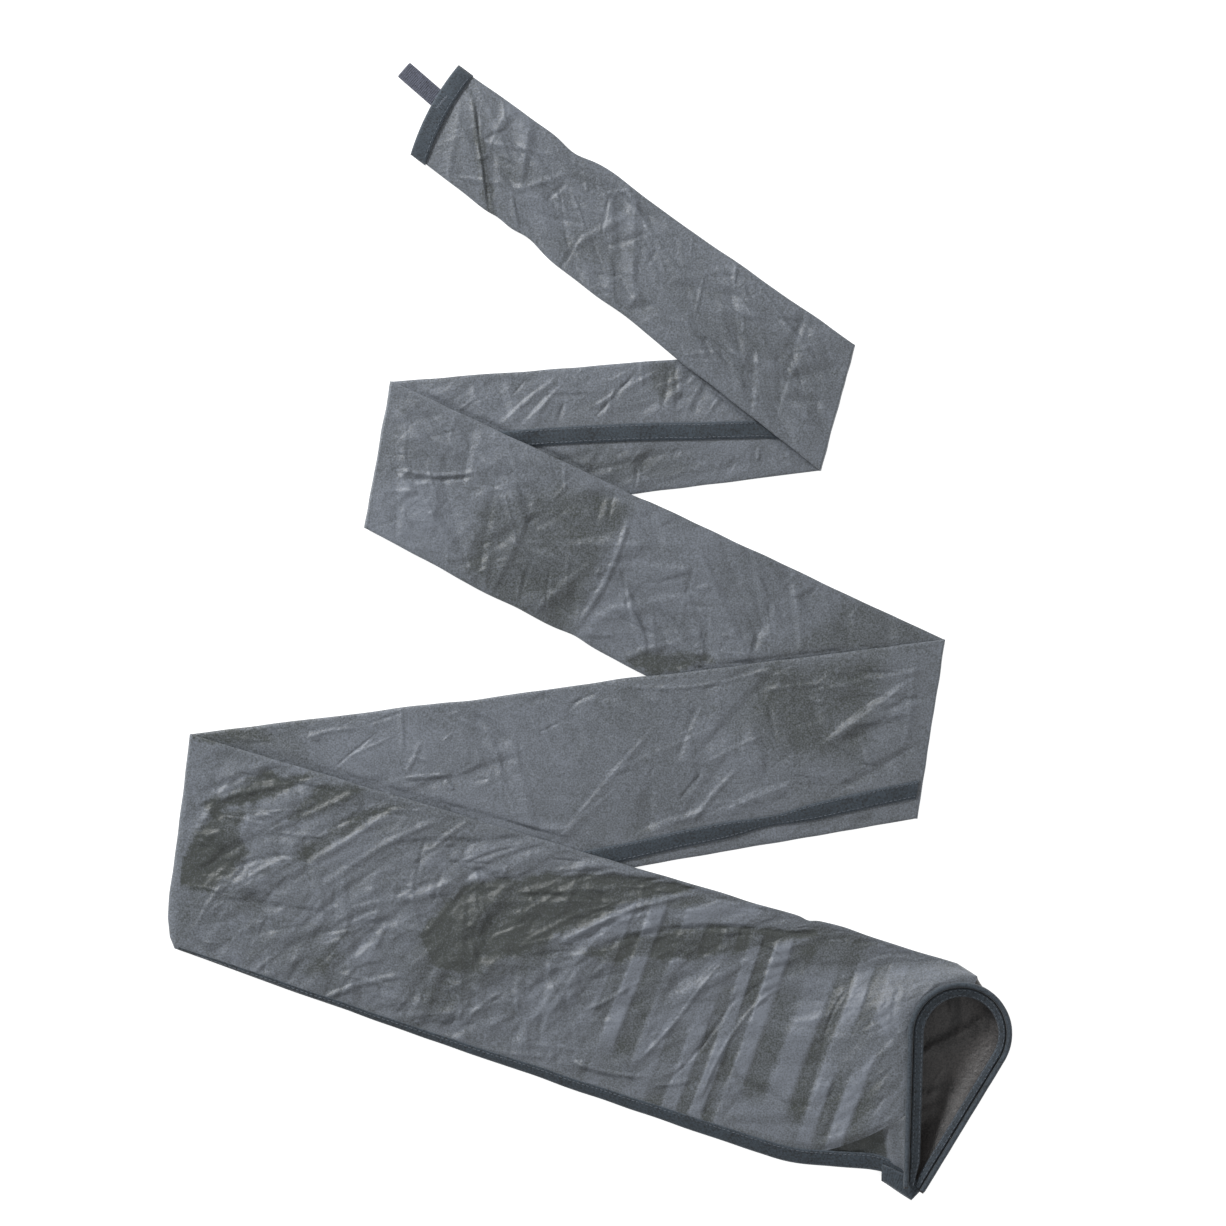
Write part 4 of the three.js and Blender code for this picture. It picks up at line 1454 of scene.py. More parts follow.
@dataclass
class MouthSection(SleeveSection):
    """The last section, which opens into the hoop."""

    hoop: Hoop | None = None
    lift_share: float = 0.154
    lift_from: float = 0.865
    fin_start: float = 2.2
    fin_end: float = 12.0

    @property
    def far_line(self) -> tuple[Array, Array]:
        """Start and end of the bound far edge."""
        return self.strip.crossings[self.index][1], self.hoop.tip

    def fin_width(self, share: Array) -> Array:
        """Returns the width that shows of the bound seam at shares of the far edge."""
        return mix(self.fin_start, self.fin_end, share)

    def fin_point(self, share: Array, inset: Array) -> Array:
        """Returns plan points beside the far edge, at an inset from its gently bowed line."""
        start, end = self.far_line
        along = unit(end - start)
        spread = np.linspace(-0.02, 0.02, 5)
        bow = np.mean([np.interp(share + step, *FAR_BOW) for step in spread], axis=0)
        return start + (end - start) * share[..., None] + left_of(along) * (inset - bow)[..., None]

    def far_edge(self, u: Array, upper: bool) -> Array:
        """Returns the far edge of a layer in plan at shares along it."""
        tuck = np.maximum(self.fin_width(u) - 3.0, 0.8)
        if not upper:
            return self.fin_point(u, np.minimum(tuck, (1.0 - u) * 200.0))
        leave = self.fin_point(u * 0.93, tuck + 1.2)
        end = self.hoop.plan(np.array([self.lift_share]))[0]
        corner = self.fin_point(np.array([self.lift_from]), np.array([9.0]))[0]
        share = np.clip((u - self.lift_from * 0.98) / (1.0 - self.lift_from * 0.98), 0.0, 1.0)[..., None]
        bow = corner + (end - corner) * share
        middle = np.array([-0.15, -0.99]) * 5.0
        bow = bow + middle * (4.0 * share * (1.0 - share))
        joined = ease((u - self.lift_from * 0.94) / (self.lift_from * 0.06))[..., None]
        return leave + (bow - leave) * joined

    def near_edge(self, u: Array) -> Array:
        """Returns the near edge in plan, which turns in behind the hoop's round end."""
        start, end = self.strip.crossings[self.index][0], self.hoop.plan(np.array([0.5]))[0]
        crossing = self.strip.crossings[self.index + 1][0]
        corners = np.array([start, crossing + np.array([-4.2, -5.6]), crossing + np.array([8.4, -13.4]), end])
        return np.stack([np.interp(u, (0.0, 0.95, 0.985, 1.0), corners[:, k]) for k in range(2)], axis=-1)

    def sheet_plan(self, u: Array, v: Array, upper: bool) -> Array:
        """Returns plan points of one layer, stretched between its four edges."""
        near0, far0 = self.strip.crossings[self.index]
        inset = self.strip.tube.clearance / self.length
        run = mix(inset, 1.0, u)
        start = near0 + (far0 - near0) * v[..., None]
        last = mix(0.5, self.lift_share if upper else 1.0, v)
        end = self.hoop.plan(last)
        r, w = run[..., None], v[..., None]
        near1 = self.near_edge(np.ones(1))[0]
        near = near0 + (near1 - near0) * r
        turned = (self.near_edge(run) - near) * (1.0 - w) ** (2.0 if upper else 14.0)
        far = self.far_edge(run, upper)
        far_start, far_end = self.far_edge(np.zeros(1), upper)[0], self.far_edge(np.ones(1), upper)[0]
        ruled = start * (1 - r) + end * r + near * (1 - w) + far * w
        corners = (near0 * (1 - r) + near1 * r) * (1 - w) + (far_start * (1 - r) + far_end * r) * w
        return ruled - corners + turned

    def build(self) -> bpy.types.Object:
        """Builds the two layers of the mouth section as one cloth."""
        u, v = self.grid()
        tube = self.strip.tube
        width = self.widths(u)
        t = v * width
        rim = np.minimum(t, width - t)
        turn = np.sqrt(np.clip(1.0 - (1.0 - np.clip(rim / 2.4, 0, 1)) ** 2, 0, 1))
        # The upper layer climbs to the first half of the hoop.
        across = unit(self.strip.crossings[self.index][1] - self.strip.crossings[self.index][0])
        fade = ease((0.95 - u) * 12.0) * (1.0 - ease((v - 0.5) * 2.0))
        plan = self.sheet_plan(u, v, True) + across * (self.edge_shift(u, v) * fade)[..., None]
        end_share = mix(0.5, self.lift_share, v)
        end = self.hoop.plan(end_share)
        reach = mix(34.0, 92.0, ease(v / 0.4))
        away = (1.0 - u) * self.length
        climb = ease(1.0 - away / reach)
        base = self.strip.base(self.index, plan)
        lift, tone = self.relief(u, v, plan)
        keep = 1.0 - ease(1.0 - away / 6.0)
        landing = self.hoop.rise(end) - 2.0
        flat = base + tube.pack - 0.4 + lift * keep * (1.0 - 0.35 * climb)
        top = flat + climb * (landing - base - tube.pack + 0.4)
        belly = 0.6 * np.sin(math.pi * climb) * np.sin(math.pi * v)
        top = top + belly
        # The lower layer lies on the floor and climbs to the second half.
        low_plan = self.sheet_plan(u, v, False) + across * (self.edge_shift(u, v) * fade)[..., None]
        low_base = self.strip.base(self.index, low_plan)
        low_end = self.hoop.plan(mix(0.5, 1.0, v))
        low_climb = ease(1.0 - away / 24.0) ** 1.3
        inner = Relief(LINING, self.length, float(np.mean(width)), low_plan)
        in_mouth = ease((u - 0.84) * 14.0)
        creased = inner.height(u * self.length, t) * in_mouth * ease(away / 8.0)
        low_flat = low_base + 0.3 + np.maximum(creased, 0.0) * 0.9
        low = mix(low_flat, self.hoop.rise(low_end) - 2.1, low_climb)
        # The lining's tone, with painted shade in its creases.
        lining_tone_and_painted_shade = inner.tone(u * self.length, t, creased)
        middle = low + 0.45 * (top - low)
        shut = np.where(v < 0.5, 1.0, 0.0)
        top = mix(mix(middle, top, turn), top, 1.0 - shut)
        low = mix(mix(middle, low, turn), low, 1.0 - shut)
        edge = ease(1.0 - (width - t) / 6.0) * (1.0 - climb)
        top = mix(top, base + 1.7, edge)
        upper = np.concatenate([plan, top[..., None]], axis=-1)
        lower = np.concatenate([low_plan, low[..., None]], axis=-1)
        lower[:, 0] = upper[:, 0]
        self.keep_rows(v[0], upper, lower)
        self.upper_edge = upper[:, -1]
        back = self.back_columns(v.shape[1])[1:][::-1]
        piece = sweep("cloth_5", np.concatenate([lower[:, back], upper], axis=1), closed=False)

        def beside(low_values: Array, top_values: Array) -> Array:
            """Returns values of the lower layer followed by those of the upper one."""
            return np.concatenate([low_values[:, back], top_values], axis=1)

        self.mark(piece, beside(lining_tone_and_painted_shade, tone), beside(u, u), beside(v, v), beside(in_mouth, 0.0 * u))
        return piece

    def gusset(self) -> bpy.types.Object:
        """Builds the slack cloth that folds back under the lifted edge and runs down to the bound seam."""
        count = 90
        edge = self.upper_edge
        first = int(len(edge) * self.lift_from * 0.93)
        pick = np.linspace(first, len(edge) - 1, count)
        line = np.stack([np.interp(pick, np.arange(len(edge)), edge[:, k]) for k in range(3)], axis=1)
        share = np.linspace(0.0, 1.0, count)
        foot_share = mix(self.lift_from * 0.93, 1.0, share)
        foot_inset = np.maximum(self.fin_width(foot_share) - 3.0, 0.0) * (1.0 - share ** 3)
        foot = self.fin_point(foot_share, foot_inset)
        hoop_low, _ = self.hoop.line(np.array([0.012]))
        foot_z = 0.5 + 5.0 * ease((foot_share - 0.93) / 0.07) + 4.0 * ease((share - 0.9) / 0.1)
        foot = np.concatenate([foot, foot_z[:, None]], axis=1)
        foot[-1] = hoop_low[0] + np.array([0.0, 0.0, -2.2])
        rows = []
        for step in np.linspace(0.0, 1.0, 26):
            tuck = math.sin(math.pi * min(step * 2.2, 1.0)) * 7.0 * (1.0 - share ** 4)
            point = line + (foot - line) * step
            point[:, :2] += np.array([-0.1, 1.0]) * tuck[:, None] * 0.9
            fall = (1.0 - step) ** 3
            point[:, 2] = foot[:, 2] + (line[:, 2] - 0.4 - foot[:, 2]) * mix(fall, 1.0 - step, share ** 5)
            ripple = wavy(share * 90.0, 0.0 * share + step * 30.0, 77, 9.0)
            point[:, 2] += 0.7 * ripple * math.sin(math.pi * step)
            point[:, 2] += 3.0 * ease((share - 0.80) / 0.05) * math.sin(math.pi * step) ** 0.5
            rows.append(point)
        piece = sweep("mouth_gusset", np.array(rows), closed=False)
        across = np.repeat(np.linspace(0.0, 1.0, 26)[:, None], count, axis=1)
        # Painted shade in the hollow under the lifted edge, lightening towards the seam, and a painted
        # highlight on the strip that stands up beside the rim.
        painted_highlight = ease((share - 0.79) / 0.03)[None] * (0.45 + 0.25 * across)
        tone = np.maximum(0.34 * ease((across - 0.45) / 0.4) - 0.1, painted_highlight)
        self.mark(piece, tone, np.repeat(foot_share[None], 26, axis=0), across * 0.3)
        return piece


# ---- Creases of the zigzag -----------------------------------------------------------------------


# Shares across the last crease, and how far its slack cloth stands out there, in millimetres.
SLACK = ((0.0, 0.25, 0.5, 0.75, 0.86, 0.95, 1.0), (0.0, 1.2, 2.8, 5.0, 5.2, 3.0, -0.5))


@dataclass(frozen=True)
class CreaseFold:
    """The cloth round one crease of the zigzag, between the section below and the section above."""

    number: int
    below: SleeveSection
    below_end: int
    above: SleeveSection
    above_end: int
    steps: int = 13
    columns: int = 120
    blend_low: float = 2.3
    blend_high: float = 4.1

    def wrap(self, low: Array, high: Array, out: Array, bulge: Array) -> Array:
        """Returns points of one layer bent round the crease, from its lower row to its upper one."""
        rows = []
        for turn in np.linspace(-math.pi / 2.0, math.pi / 2.0, self.steps):
            share = 0.5 + turn / math.pi
            row = low + (high - low) * share
            row[:, :2] += out * (bulge * math.cos(turn))[:, None]
            row[:, 2] = (low[:, 2] + high[:, 2]) / 2.0 + (high[:, 2] - low[:, 2]) / 2.0 * math.sin(turn)
            rows.append(row)
        return np.array(rows)

    def build(self) -> bpy.types.Object:
        """Builds the bent cloth."""
        v = (1.0 - np.cos(np.linspace(0.0, math.pi, self.columns))) / 2.0
        rows = {
            "outer": (self.below.row("low", self.below_end, v), self.above.row("top", self.above_end, v)),
            "inner": (self.below.row("top", self.below_end, v), self.above.row("low", self.above_end, v)),
        }
        pair = self.below.strip.crossings[max(self.below.index, self.above.index)]
        along = unit(pair[1] - pair[0])
        inner_mean = rows["outer"][0][:, :2].mean(axis=0) + rows["outer"][1][:, :2].mean(axis=0)
        body_mean = self.below.strip.crossings[self.below.index + (1 - self.below_end)].mean(axis=0)
        out = left_of(along)
        out = -out if out @ (body_mean - inner_mean / 2.0) > 0.0 else out
        wobble = 1.0 + 0.25 * wavy(v * 150.0, 0.0 * v, 90 + self.number, 24.0)
        slack = np.interp(v, *SLACK) if self.number == 4 else 0.0
        outer = self.wrap(*rows["outer"], out, 1.7 * wobble + slack)
        inner = self.wrap(*rows["inner"], out, 1.0 * wobble + slack * 0.7)
        ring = np.concatenate([outer, inner[:, -2:0:-1]], axis=1)
        piece = sweep(f"crease_{self.number}", ring)
        around = ring.shape[1]
        tone = 0.62 + 0.12 * wavy(np.arange(around) * 1.2, 0.0 * np.arange(around), 80 + self.number, 14.0)
        paint(piece, "tone", np.repeat(tone[None], self.steps, axis=0))
        paint(piece, "along", np.repeat(np.arange(self.steps)[:, None] * 0.5, around, axis=1))
        paint(piece, "across", np.repeat(np.arange(around)[None] * 1.2, self.steps, axis=0))
        paint(piece, "inside", np.zeros((self.steps, around)))
        x, y, _ = hinge_place(f"fold_{self.number}")
        low, high = (x, y, self.blend_low * MM), (x, y, self.blend_high * MM)
        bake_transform(piece)
        return piece


# ---- Tapes ---------------------------------------------------------------------------------------


@dataclass(frozen=True)
class SeamTape:
    """Binding tape over the lengthwise seam of one section, with a row of stitches near each edge."""

    section: SleeveSection
    width: float = 12.0
    thick: float = 0.9
    cell: float = 1.5
    columns: int = 10
    row_inset: float = 1.7
    start_run: float = 0.0
    twisted: int = 3

    @property
    def track(self) -> Track:
        """Where the seam runs."""
        return TRACKS[self.section.index]

    def surface(self, u: Array, v: Array) -> Array:
        """Returns points of the cloth that the tape lies on."""
        points = self.section.plan(u, v)
        if self.track.face is Face.OVER:
            height, _ = self.section.top_height(u, v, points)
            return np.concatenate([points, (height + 0.15)[..., None]], axis=-1)
        height = self.section.strip.base(self.section.index, points) - self.thick - 0.35
        return np.concatenate([points, height[..., None]], axis=-1)

    def half(self, u: Array) -> Array:
        """Returns half the tape's width as seen flat, narrower where it twists over."""
        if self.section.index != self.twisted:
            return np.full(np.shape(u), self.width / 2.0)
        twist = 0.42 * np.exp(-(((u - 0.2) * self.section.length / 18.0) ** 2))
        return self.width / 2.0 * (1.0 - twist)

    def line(self, u: Array, offset: Array) -> Array:
        """Returns points on the cloth at an offset from the seam, in millimetres."""
        wander = 0.7 * wavy(u * self.section.length, 0.0 * u, self.section.drape.seed + 41, 60.0)
        place = self.track.across(u) + (offset + wander) / self.section.widths(u)
        line = self.surface(u, place)
        line[:, 2] = np.convolve(np.pad(line[:, 2], 4, mode="edge"), np.ones(9) / 9.0, mode="valid")
        return line

    def build(self, wardrobe: Wardrobe) -> list[bpy.types.Object]:
        """Builds the tape, and its stitches where it lies over the section."""
        section = self.section
        start = self.start_run / section.length
        u = np.linspace(max(start, 0.003), 0.997, int(section.length / self.cell))
        half = self.half(u)
        rings = ribbon(self.line(u, -half), self.line(u, half), self.thick, self.columns)
        pieces = [sweep(f"seam_tape_cloth_{section.index + 1}", rings)]
        across = ribbon_shares(self.columns)[None]
        paint_weave(pieces[0], (u * section.length)[:, None], across * self.width, worn_edges(across))
        wardrobe.dress(pieces[0], "binding_tape")
        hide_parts(f"seam_tape_{section.index + 1}")
        if self.track.face is Face.OVER:
            paths = []
            for side in (-1.0, 1.0):
                path = self.line(u, side * (half - self.row_inset))
                path[:, 2] += self.thick + 0.12
                paths.append(path)
            pieces.append(wardrobe.dress(stitches(f"tape_stitches_{section.index + 1}", paths), "thread"))
        for piece in pieces:
            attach(piece, section.body)
        return pieces


@dataclass(frozen=True)
class EdgeFin:
    """The bound seam of the last section, a flat tape along its far edge up to the mouth's tip."""

    mouth: MouthSection
    thick: float = 1.5
    steps: int = 330
    columns: int = 10
    join_at: float = 0.682
    inner_lift: float = 1.15
    edge_run: float = 494.0
    rib_run: float = 12.0

    def lines(self) -> tuple[Array, Array, Array]:
        """Returns shares along the edge, and the tape's outer and inner lines."""
        mouth = self.mouth
        share = np.linspace(0.006, 0.985, self.steps)
        width = mouth.fin_width(share) * (1.0 - 0.25 * ease((share - 0.93) / 0.05))
        wander = 0.5 * wavy(share * 480.0, 0.0 * share, 61, 30.0)
        outer = mouth.fin_point(share, 0.0 * share + 0.3 + wander)
        inner = mouth.fin_point(share, width + wander)
        climb = ease((share - 0.93) / 0.07) * (mouth.hoop.height - 9.0)
        low = mouth.strip.base(mouth.index, outer) + 0.35 + climb
        outer = np.concatenate([outer, low[:, None]], axis=1)
        inner = np.concatenate([inner, (low + self.inner_lift)[:, None]], axis=1)
        return share, outer, inner

    def build(self, wardrobe: Wardrobe) -> list[bpy.types.Object]:
        """Builds the tape and its stitches."""
        share, outer, inner = self.lines()
        rings = ribbon(outer, inner, self.thick, self.columns, 0.35)
        past = ease((share - self.join_at) * 480.0 / 1.2)[:, None]
        rings[..., 2] += 0.35 * past * (1.0 - ease((share - self.join_at - 0.03) * 30.0))[:, None]
        tape = sweep("seam_tape_cloth_5", rings)
        across = ribbon_shares(self.columns)[None]
        paint_weave(tape, (share * self.edge_run)[:, None], across * self.rib_run, worn_edges(across))
        wardrobe.dress(tape, "binding_tape")
        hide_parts("seam_tape_5")
        path = outer + (inner - outer) * np.clip(1.0 - 1.9 / self.mouth.fin_width(share), 0.35, 0.9)[:, None]
        path[:, 2] += self.thick + 0.42
        thread = wardrobe.dress(stitches("tape_stitches_5", [path[8:]]), "thread")
        for piece in (tape, thread):
            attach(piece, self.mouth.body)
        return [tape, thread]


@dataclass(frozen=True)
class NarrowEnd:
    """The bound narrow end with its pull loop."""

    section: SleeveSection
    length: float = 12.0
    bow: float = 5.0
    loop_width: float = 12.0
    loop_length: float = 27.0
    loop_place: float = 0.4
    loop_turn_deg: float = -4.5
    root_gap: float = 2.8
    ply: float = 1.0
    tail: float = 9.0
    leg_lift: float = 0.72
    leg_steps: int = 46
    blend_reach: float = 2.2

    @property
    def ends(self) -> tuple[Array, Array]:
        """Near and far corner of the bound edge, in plan."""
        near, far = self.section.strip.crossings[0]
        return near, far

    def bowed(self, share: Array) -> Array:
        """Returns how far the edge bows outward at shares of its width."""
        return self.hem_bow(share) + 1.0 + 7.0 * np.clip(share, 0.0, 1.0) ** 2

    def hem_bow(self, share: Array) -> Array:
        """Returns how far the bare hem that the loop is sewn to bows outward."""
        return self.bow * (1.0 - (2.0 * np.clip(share, 0.0, 1.0) - 1.0) ** 2)

    def spot(self, share: Array, run: Array) -> Array:
        """Returns plan points at shares across and distances in from the bowed edge."""
        near, far = self.ends
        inward = heading(self.section.strip.tube.heading_deg)
        return near + (far - near) * share[..., None] + inward * (run - self.bowed(share))[..., None]

    def binding(self, wardrobe: Wardrobe) -> list[bpy.types.Object]:
        """Builds the tape that wraps the edge and its row of stitches."""
        profile = (
            (4.5, -0.75), (1.2, -0.7), (0.35, -0.45), (0.0, -0.05), (0.15, 0.4),
            (0.7, 0.75), (1.8, 0.9), (3.6, 0.95), (5.8, 0.92), (8.0, 0.95),
            (9.9, 0.9), (11.2, 0.78), (11.8, 0.55), (12.0, 0.2), (11.6, 0.0),
        )
        share = (1.0 - np.cos(np.linspace(0.0, math.pi, 70))) / 2.0
        pack = self.section.strip.tube.pack
        base = self.section.strip.base(0, self.spot(share, 0.0 * share + 6.0))
        middle = base + pack / 2.0
        rings = []
        width = np.linalg.norm(self.ends[1] - self.ends[0])
        for run, lift in profile:
            plan = self.spot(share, 0.0 * share + run)
            round_off = np.sqrt(np.clip(1.0 - (2.0 * share - 1.0) ** 8, 0.0, 1.0))
            swell = 0.3 * wavy(share * width, 0.0 * share + run, 71, 12.0) * (0.2 < run / 12.0 < 0.9)
            half = (pack / 2.0 + 0.35 + lift + 0.35 * np.sin(math.pi * share)) * round_off
            stand = (2.0 * share - 1.0) * 1.1
            across = unit(self.ends[1] - self.ends[0])
            plan = plan + across * stand[:, None]
            top = np.concatenate([plan, (middle + half + swell)[:, None]], axis=1)
            low = np.concatenate([plan, (middle - half)[:, None]], axis=1)
            rings.append(np.concatenate([top, low[-2:0:-1]]))
        piece = sweep("narrow_binding_cloth", np.array(rings))
        edge = 0.3 + np.array([0, 0, 0.3, 0.6, 0.5, 0.3, 0, 0, 0, 0, 0, 0.3, 0.6, 0.4, 0.0])
        runs = np.array([run for run, _ in profile])
        paint_weave(piece, np.linspace(0.0, 2.0 * width, len(rings[0]))[None], runs[:, None], edge[:, None])
        wardrobe.dress(piece, "binding_tape")
        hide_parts("narrow_end_binding")
        line = np.linspace(0.04, 0.96, 60)
        row = self.spot(line, 0.0 * line + 10.4)
        height = np.interp(line, share, middle) + pack / 2.0 + 0.35 + 0.98 + 0.35 * np.sin(math.pi * line)
        path = np.concatenate([row, height[:, None]], axis=1)
        thread = wardrobe.dress(stitches("narrow_binding_stitches", [path]), "thread")
        for each in (piece, thread):
            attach(each, self.section.body)
        return [piece, thread]

    def loop(self, wardrobe: Wardrobe) -> list[bpy.types.Object]:
        """Builds the folded webbing loop and its tack."""
        near, far = self.ends
        outward = heading(self.section.strip.tube.heading_deg + 180.0 + self.loop_turn_deg)
        across = left_of(outward)
        root_out = self.hem_bow(self.loop_place) + self.root_gap
        root = near + (far - near) * self.loop_place + outward * root_out
        middle = float(self.section.strip.base(0, root[None])[0]) + self.section.strip.tube.pack / 2.0
        tip = self.loop_length - self.ply * 1.2
        bend = np.linspace(0.2, math.pi - 0.2, 7)
        leg = np.linspace(-self.tail, tip, self.leg_steps)
        runs = np.concatenate([leg, tip + self.ply * np.sin(bend), leg[::-1]])
        upper = self.leg_lift + 0.35 * np.sin(np.linspace(0.0, math.pi, self.leg_steps))
        lower = np.full(self.leg_steps, -self.leg_lift)
        lifts = np.concatenate([upper, self.leg_lift * np.cos(bend), lower])
        rings = []
        columns = np.linspace(-0.5, 0.5, 9)
        ahead = np.gradient(runs) + 1e-9
        rise = np.gradient(lifts)
        norm = np.hypot(ahead, rise)
        for run, lift, dx, dz in zip(runs, lifts, ahead / norm, rise / norm):
            ring = []
            for face in (1.0, -1.0):
                for share in columns * face:
                    rim = min(1.0, (0.5 - abs(share)) * 12.0 + 0.35)
                    off = face * 0.5 * self.ply * 0.92 * rim
                    plan = root + outward * (run - dz * off) + across * (share * self.loop_width)
                    ring.append([plan[0], plan[1], middle + lift + dx * off])
            rings.append(ring)
        piece = sweep("pull_loop_webbing", np.array(rings))
        place = np.concatenate([columns, columns[::-1]])[None]
        wear_and_painted_light = ease((np.abs(place) - 0.38) * 9.0)
        paint_weave(piece, np.arange(len(runs))[:, None] * 0.8, place * self.loop_width, wear_and_painted_light)
        wardrobe.dress(piece, "loop_webbing")
        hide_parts("pull_loop")
        hinge = hinge_place("loop_swing")
        reach = self.blend_reach * MM
        start = [hinge[0] - outward[0] * reach, hinge[1] - outward[1] * reach, hinge[2]]
        end = [hinge[0] + outward[0] * reach, hinge[1] + outward[1] * reach, hinge[2]]
        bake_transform(piece)
        top = middle + self.section.strip.tube.pack / 2.0 + 0.35 + 0.98 + 0.34
        corners = []
        for order in range(15):
            side = (order / 14.0 - 0.5) * (self.loop_width - 1.5)
            plan = root + outward * (-self.root_gap - 2.0 - (2.4 if order % 2 else 0.0)) + across * side
            corners.append([plan[0], plan[1], top])
        path = np.array(corners)
        throws = [np.linspace(first, second, 3) for first, second in zip(path[:-1], path[1:])]
        tack = stitches("loop_tack_stitches", throws, Stitch(2.4, 0.55, 0.5, 2.4))
        wardrobe.dress(tack, "thread")
        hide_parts("loop_bartack")
        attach(tack, self.section.body)
        return [piece, tack]


# Corners of the folded tab from the hoop's tip, towards the hoop's first side and up its axis.
TAB = np.array([[23.6, 9.4], [-7.9, 6.1], [-1.0, -7.2], [20.7, -1.2]])


@dataclass(frozen=True)
class MouthRim:
    """The binding round the hoop: a rolled ridge over the rod and a stitched band inside it."""

    mouth: MouthSection
    ridge: float = 1.85
    band_left: float = 7.6
    band_right: float = 5.6
    drop: float = 3.4
    thick: float = 0.8
    length: float = 335.0
    steps: int = 260
    columns: int = 9

    def frame_lines(self) -> tuple[Array, Array, Array, Array]:
        """Returns shares round the hoop, its points, inward directions and the band's widths."""
        share = np.linspace(0.004, 0.996, self.steps)
        points, inward = self.mouth.hoop.line(share)
        width = mix(self.band_left, self.band_right, ease((share - 0.35) / 0.3))
        width = np.minimum(width, np.maximum(self.mouth.hoop.room(points[:, :2]) - self.ridge * 0.4, 1.2))
        return share, points, inward, width

    def build(self, wardrobe: Wardrobe) -> list[bpy.types.Object]:
        """Builds the ridge, the band and two rows of stitches."""
        share, points, inward, width = self.frame_lines()
        inward3 = np.concatenate([inward, np.zeros((self.steps, 1))], axis=1)
        up = np.array([0.0, 0.0, 1.0])
        angles = np.linspace(0.0, 2.0 * math.pi, 18, endpoint=False)
        radius = self.ridge * (1.0 + 0.05 * wavy(share * 300.0, 0.0 * share, 63, 9.0))
        ring = np.cos(angles)[None, :, None] * inward3[:, None] + np.sin(angles)[None, :, None] * up
        ridge = sweep("mouth_ridge", points[:, None] + ring * radius[:, None, None])
        along = (share * self.length)[:, None]
        # Painted highlight on the top of the rolled ridge and painted shade on its inward side.
        wear_and_painted_light = 0.45 * ease(np.sin(angles) - 0.2) - 0.9 * ease(np.cos(angles) - 0.3)
        paint_weave(ridge, along, (angles * self.ridge)[None], wear_and_painted_light[None])
        start = points + inward3 * 2.2 - up * 1.4
        sink = self.drop * width / 8.0 + 0.3
        ending = points + inward3 * (1.2 + width)[:, None] - up * sink[:, None]
        ending[:, 2] += 0.3 * wavy(share * self.length, 0.0 * share, 64, 12.0)
        band = sweep("mouth_band", ribbon(start, ending, self.thick, self.columns, 0.3))
        across = ribbon_shares(self.columns)[None]
        # Painted shade in the groove beside the ridge; the band's inner edge is lighter for wear.
        painted_groove_shade = ease(1.0 - across * 7.0)
        wear_and_painted_light = 0.7 * ease(1.0 - (1.0 - across) * 9.0) - 1.3 * painted_groove_shade
        paint_weave(band, along, across * width[:, None], wear_and_painted_light)
        paths = []
        for place in (0.24, 0.84):
            path = start + (ending - start) * place
            path[:, 2] += self.thick + 0.12 + 0.28 * math.sin(math.pi * place)
            keep = width > 4.0 if place < 0.5 else width > 2.5
            paths.append(path[keep & (share < 0.5)])
            paths.append(path[keep & (share >= 0.5)])
        thread = wardrobe.dress(stitches("mouth_stitches", paths), "thread")
        for piece in (ridge, band):
            wardrobe.dress(piece, "binding_tape")
            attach(piece, self.mouth.body)
        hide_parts("mouth_binding")
        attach(thread, self.mouth.body)
        return [ridge, band, thread]

    def tab(self, wardrobe: Wardrobe) -> bpy.types.Object:
        """Builds the folded tape end that closes the tip."""
        hoop = self.mouth.hoop
        u = np.linspace(0.0, 1.0, 16)
        rings = []
        for step in u:
            top_edge = TAB[0] + (TAB[1] - TAB[0]) * step
            low_edge = TAB[3] + (TAB[2] - TAB[3]) * step
            a = hoop.tip + hoop.side * top_edge[0] + hoop.axis * top_edge[1]
            b = hoop.tip + hoop.side * low_edge[0] + hoop.axis * low_edge[1]
            height = mix(4.4, 9.0, float(ease(np.array(step * 1.25))))
            rings.append([[a[0], a[1], height], [b[0], b[1], height - 1.4]])
        rings = np.array(rings)
        closed = ribbon(rings[:, 0], rings[:, 1], 2.3, self.columns, 0.6)
        closed[0, :, 2] = closed[0, :, 2].mean()
        closed[-1, :, 2] = closed[-1, :, 2].mean()
        piece = sweep("mouth_tab_cloth", closed)
        across = ribbon_shares(self.columns)[None]
        paint_weave(piece, (u * 16.0)[:, None], across * 10.0, worn_edges(across))
        wardrobe.dress(piece, "binding_tape")
        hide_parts("mouth_tab")
        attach(piece, self.mouth.body)
        return piece


# ---- Studio --------------------------------------------------------------------------------------


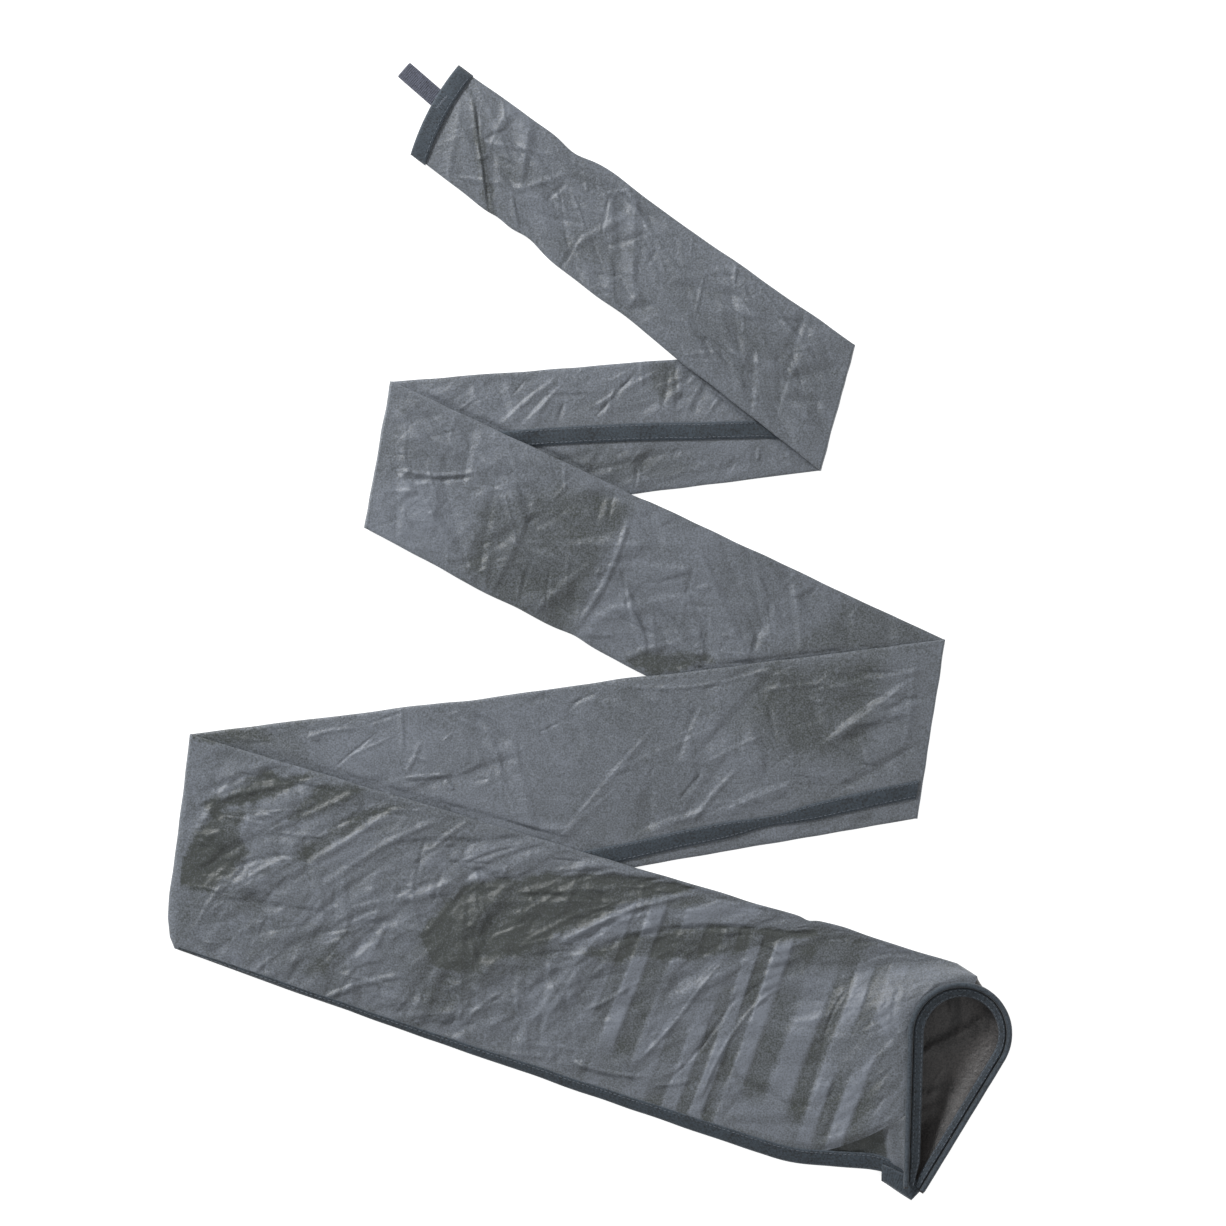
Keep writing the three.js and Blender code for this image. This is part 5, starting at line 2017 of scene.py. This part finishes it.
@dataclass(frozen=True)
class Studio:
    """Pale floor, soft lights and the camera straight above."""

    look_at: tuple[float, float] = (0.01019, 0.01516)
    height: float = 2.4
    view_width: float = 0.797
    sensor: float = 36.0

    def floor(self) -> None:
        """Makes the pale floor."""
        dye = Dye("studio_floor")
        cloud = dye.noise(3.0, 1.0)
        base = dye.blend((0.50, 0.50, 0.50, 1.0), (0.54, 0.54, 0.54, 1.0), 0.5 + cloud)
        dye.close(base, 0.9, cloud, 0.0, Emission_Color=(1.0, 1.0, 1.0, 1.0), Emission_Strength=0.84)
        mesh = bpy.data.meshes.new("floor")
        half, level = 6.0, -0.0006
        corners = [(x * half, y * half, level) for x, y in ((-1, -1), (1, -1), (1, 1), (-1, 1))]
        mesh.from_pydata(corners, [], [(0, 1, 2, 3)])
        mesh.materials.append(dye.material)
        floor = bpy.data.objects.new("studio_floor", mesh)
        bpy.context.scene.collection.objects.link(floor)
        floor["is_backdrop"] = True

    def light(self, name: str, place: tuple[float, float, float], size: float, power: float) -> None:
        """Makes one soft lamp that points at the object."""
        lamp = bpy.data.lights.new(name, "AREA")
        lamp.shape, lamp.size, lamp.energy = "DISK", size, power
        holder = bpy.data.objects.new(name, lamp)
        holder.location = place
        aim = Vector((0.0, 0.0, 0.0)) - Vector(place)
        holder.rotation_euler = aim.to_track_quat("-Z", "Y").to_euler()
        bpy.context.scene.collection.objects.link(holder)

    def camera(self) -> None:
        """Makes the camera."""
        lens = bpy.data.cameras.new("camera")
        lens.lens = self.sensor * self.height / self.view_width
        lens.sensor_width = self.sensor
        holder = bpy.data.objects.new("camera", lens)
        holder.location = (self.look_at[0], self.look_at[1], self.height)
        bpy.context.scene.collection.objects.link(holder)
        bpy.context.scene.camera = holder

    def build(self) -> None:
        """Builds the whole studio."""
        self.camera()
        self.floor()
        self.light("key_light", (-1.7, 1.7, 1.25), 0.7, 78.0)
        self.light("fill_light", (1.6, -1.2, 2.6), 2.4, 14.0)
        world = bpy.data.worlds.new("studio_air")
        world.use_nodes = True
        world.node_tree.nodes["Background"].inputs["Color"].default_value = (1.0, 1.0, 1.0, 1.0)
        world.node_tree.nodes["Background"].inputs["Strength"].default_value = 0.36
        bpy.context.scene.world = world
        bpy.context.scene.view_settings.view_transform = "Standard"


def main() -> None:
    """Builds the sleeve, section by section, and its tapes, rim and loop."""
    logging.basicConfig(level=logging.INFO, format="%(name)s: %(message)s")
    Studio().build()
    wardrobe = Wardrobe()
    strip = Strip(Tube())
    hoop = Hoop(strip)
    sections: list[SleeveSection] = [SleeveSection(strip, i, DRAPES[i]) for i in range(4)]
    sections.append(MouthSection(strip, 4, DRAPES[4], hoop=hoop))
    cloths = []
    for section in sections:
        cloth = wardrobe.dress(section.build(), "sleeve_fabric")
        number = section.index + 1
        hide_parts(f"sleeve_{number}_lower", f"sleeve_{number}_upper")
        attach(cloth, section.body)
        cloths.append(cloth)
    a, b, c, d, e = sections
    folds = [
        CreaseFold(1, b, 0, a, 1),
        CreaseFold(2, b, 1, c, 0),
        CreaseFold(3, c, 1, d, 0),
        CreaseFold(4, d, 1, e, 0),
    ]
    creases = [wardrobe.dress(fold.build(), "sleeve_fabric") for fold in folds]
    tapes = [SeamTape(s, start_run=11.5 if s is a else 0.0).build(wardrobe) for s in (a, b, c, d)]
    tapes.append(EdgeFin(e).build(wardrobe))
    narrow = NarrowEnd(a)
    bound = narrow.binding(wardrobe)
    narrow.loop(wardrobe)
    gusset = wardrobe.dress(e.gusset(), "sleeve_fabric")
    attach(gusset, e.body)
    rim = MouthRim(e)
    rimmed = rim.build(wardrobe) + [rim.tab(wardrobe)]
    extras = [
        [creases[0], *tapes[0], *bound],
        [creases[1], *tapes[1]],
        [creases[2], *tapes[2]],
        [creases[3], *tapes[3]],
        [*tapes[4], *rimmed, gusset],
    ]
    beneath = ["cloth_2", "studio_floor", "cloth_2", "cloth_3", "cloth_4"]
    for section, cloth, others, under in zip(sections, cloths, extras, beneath):
        section.flat
    wardrobe.dress(bpy.data.objects["hoop_rod"], "hoop_rod")
    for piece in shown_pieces():
        LOG.info("%s: %d points", piece.name, len(piece.data.vertices))


if __name__ == "__main__":
    main()
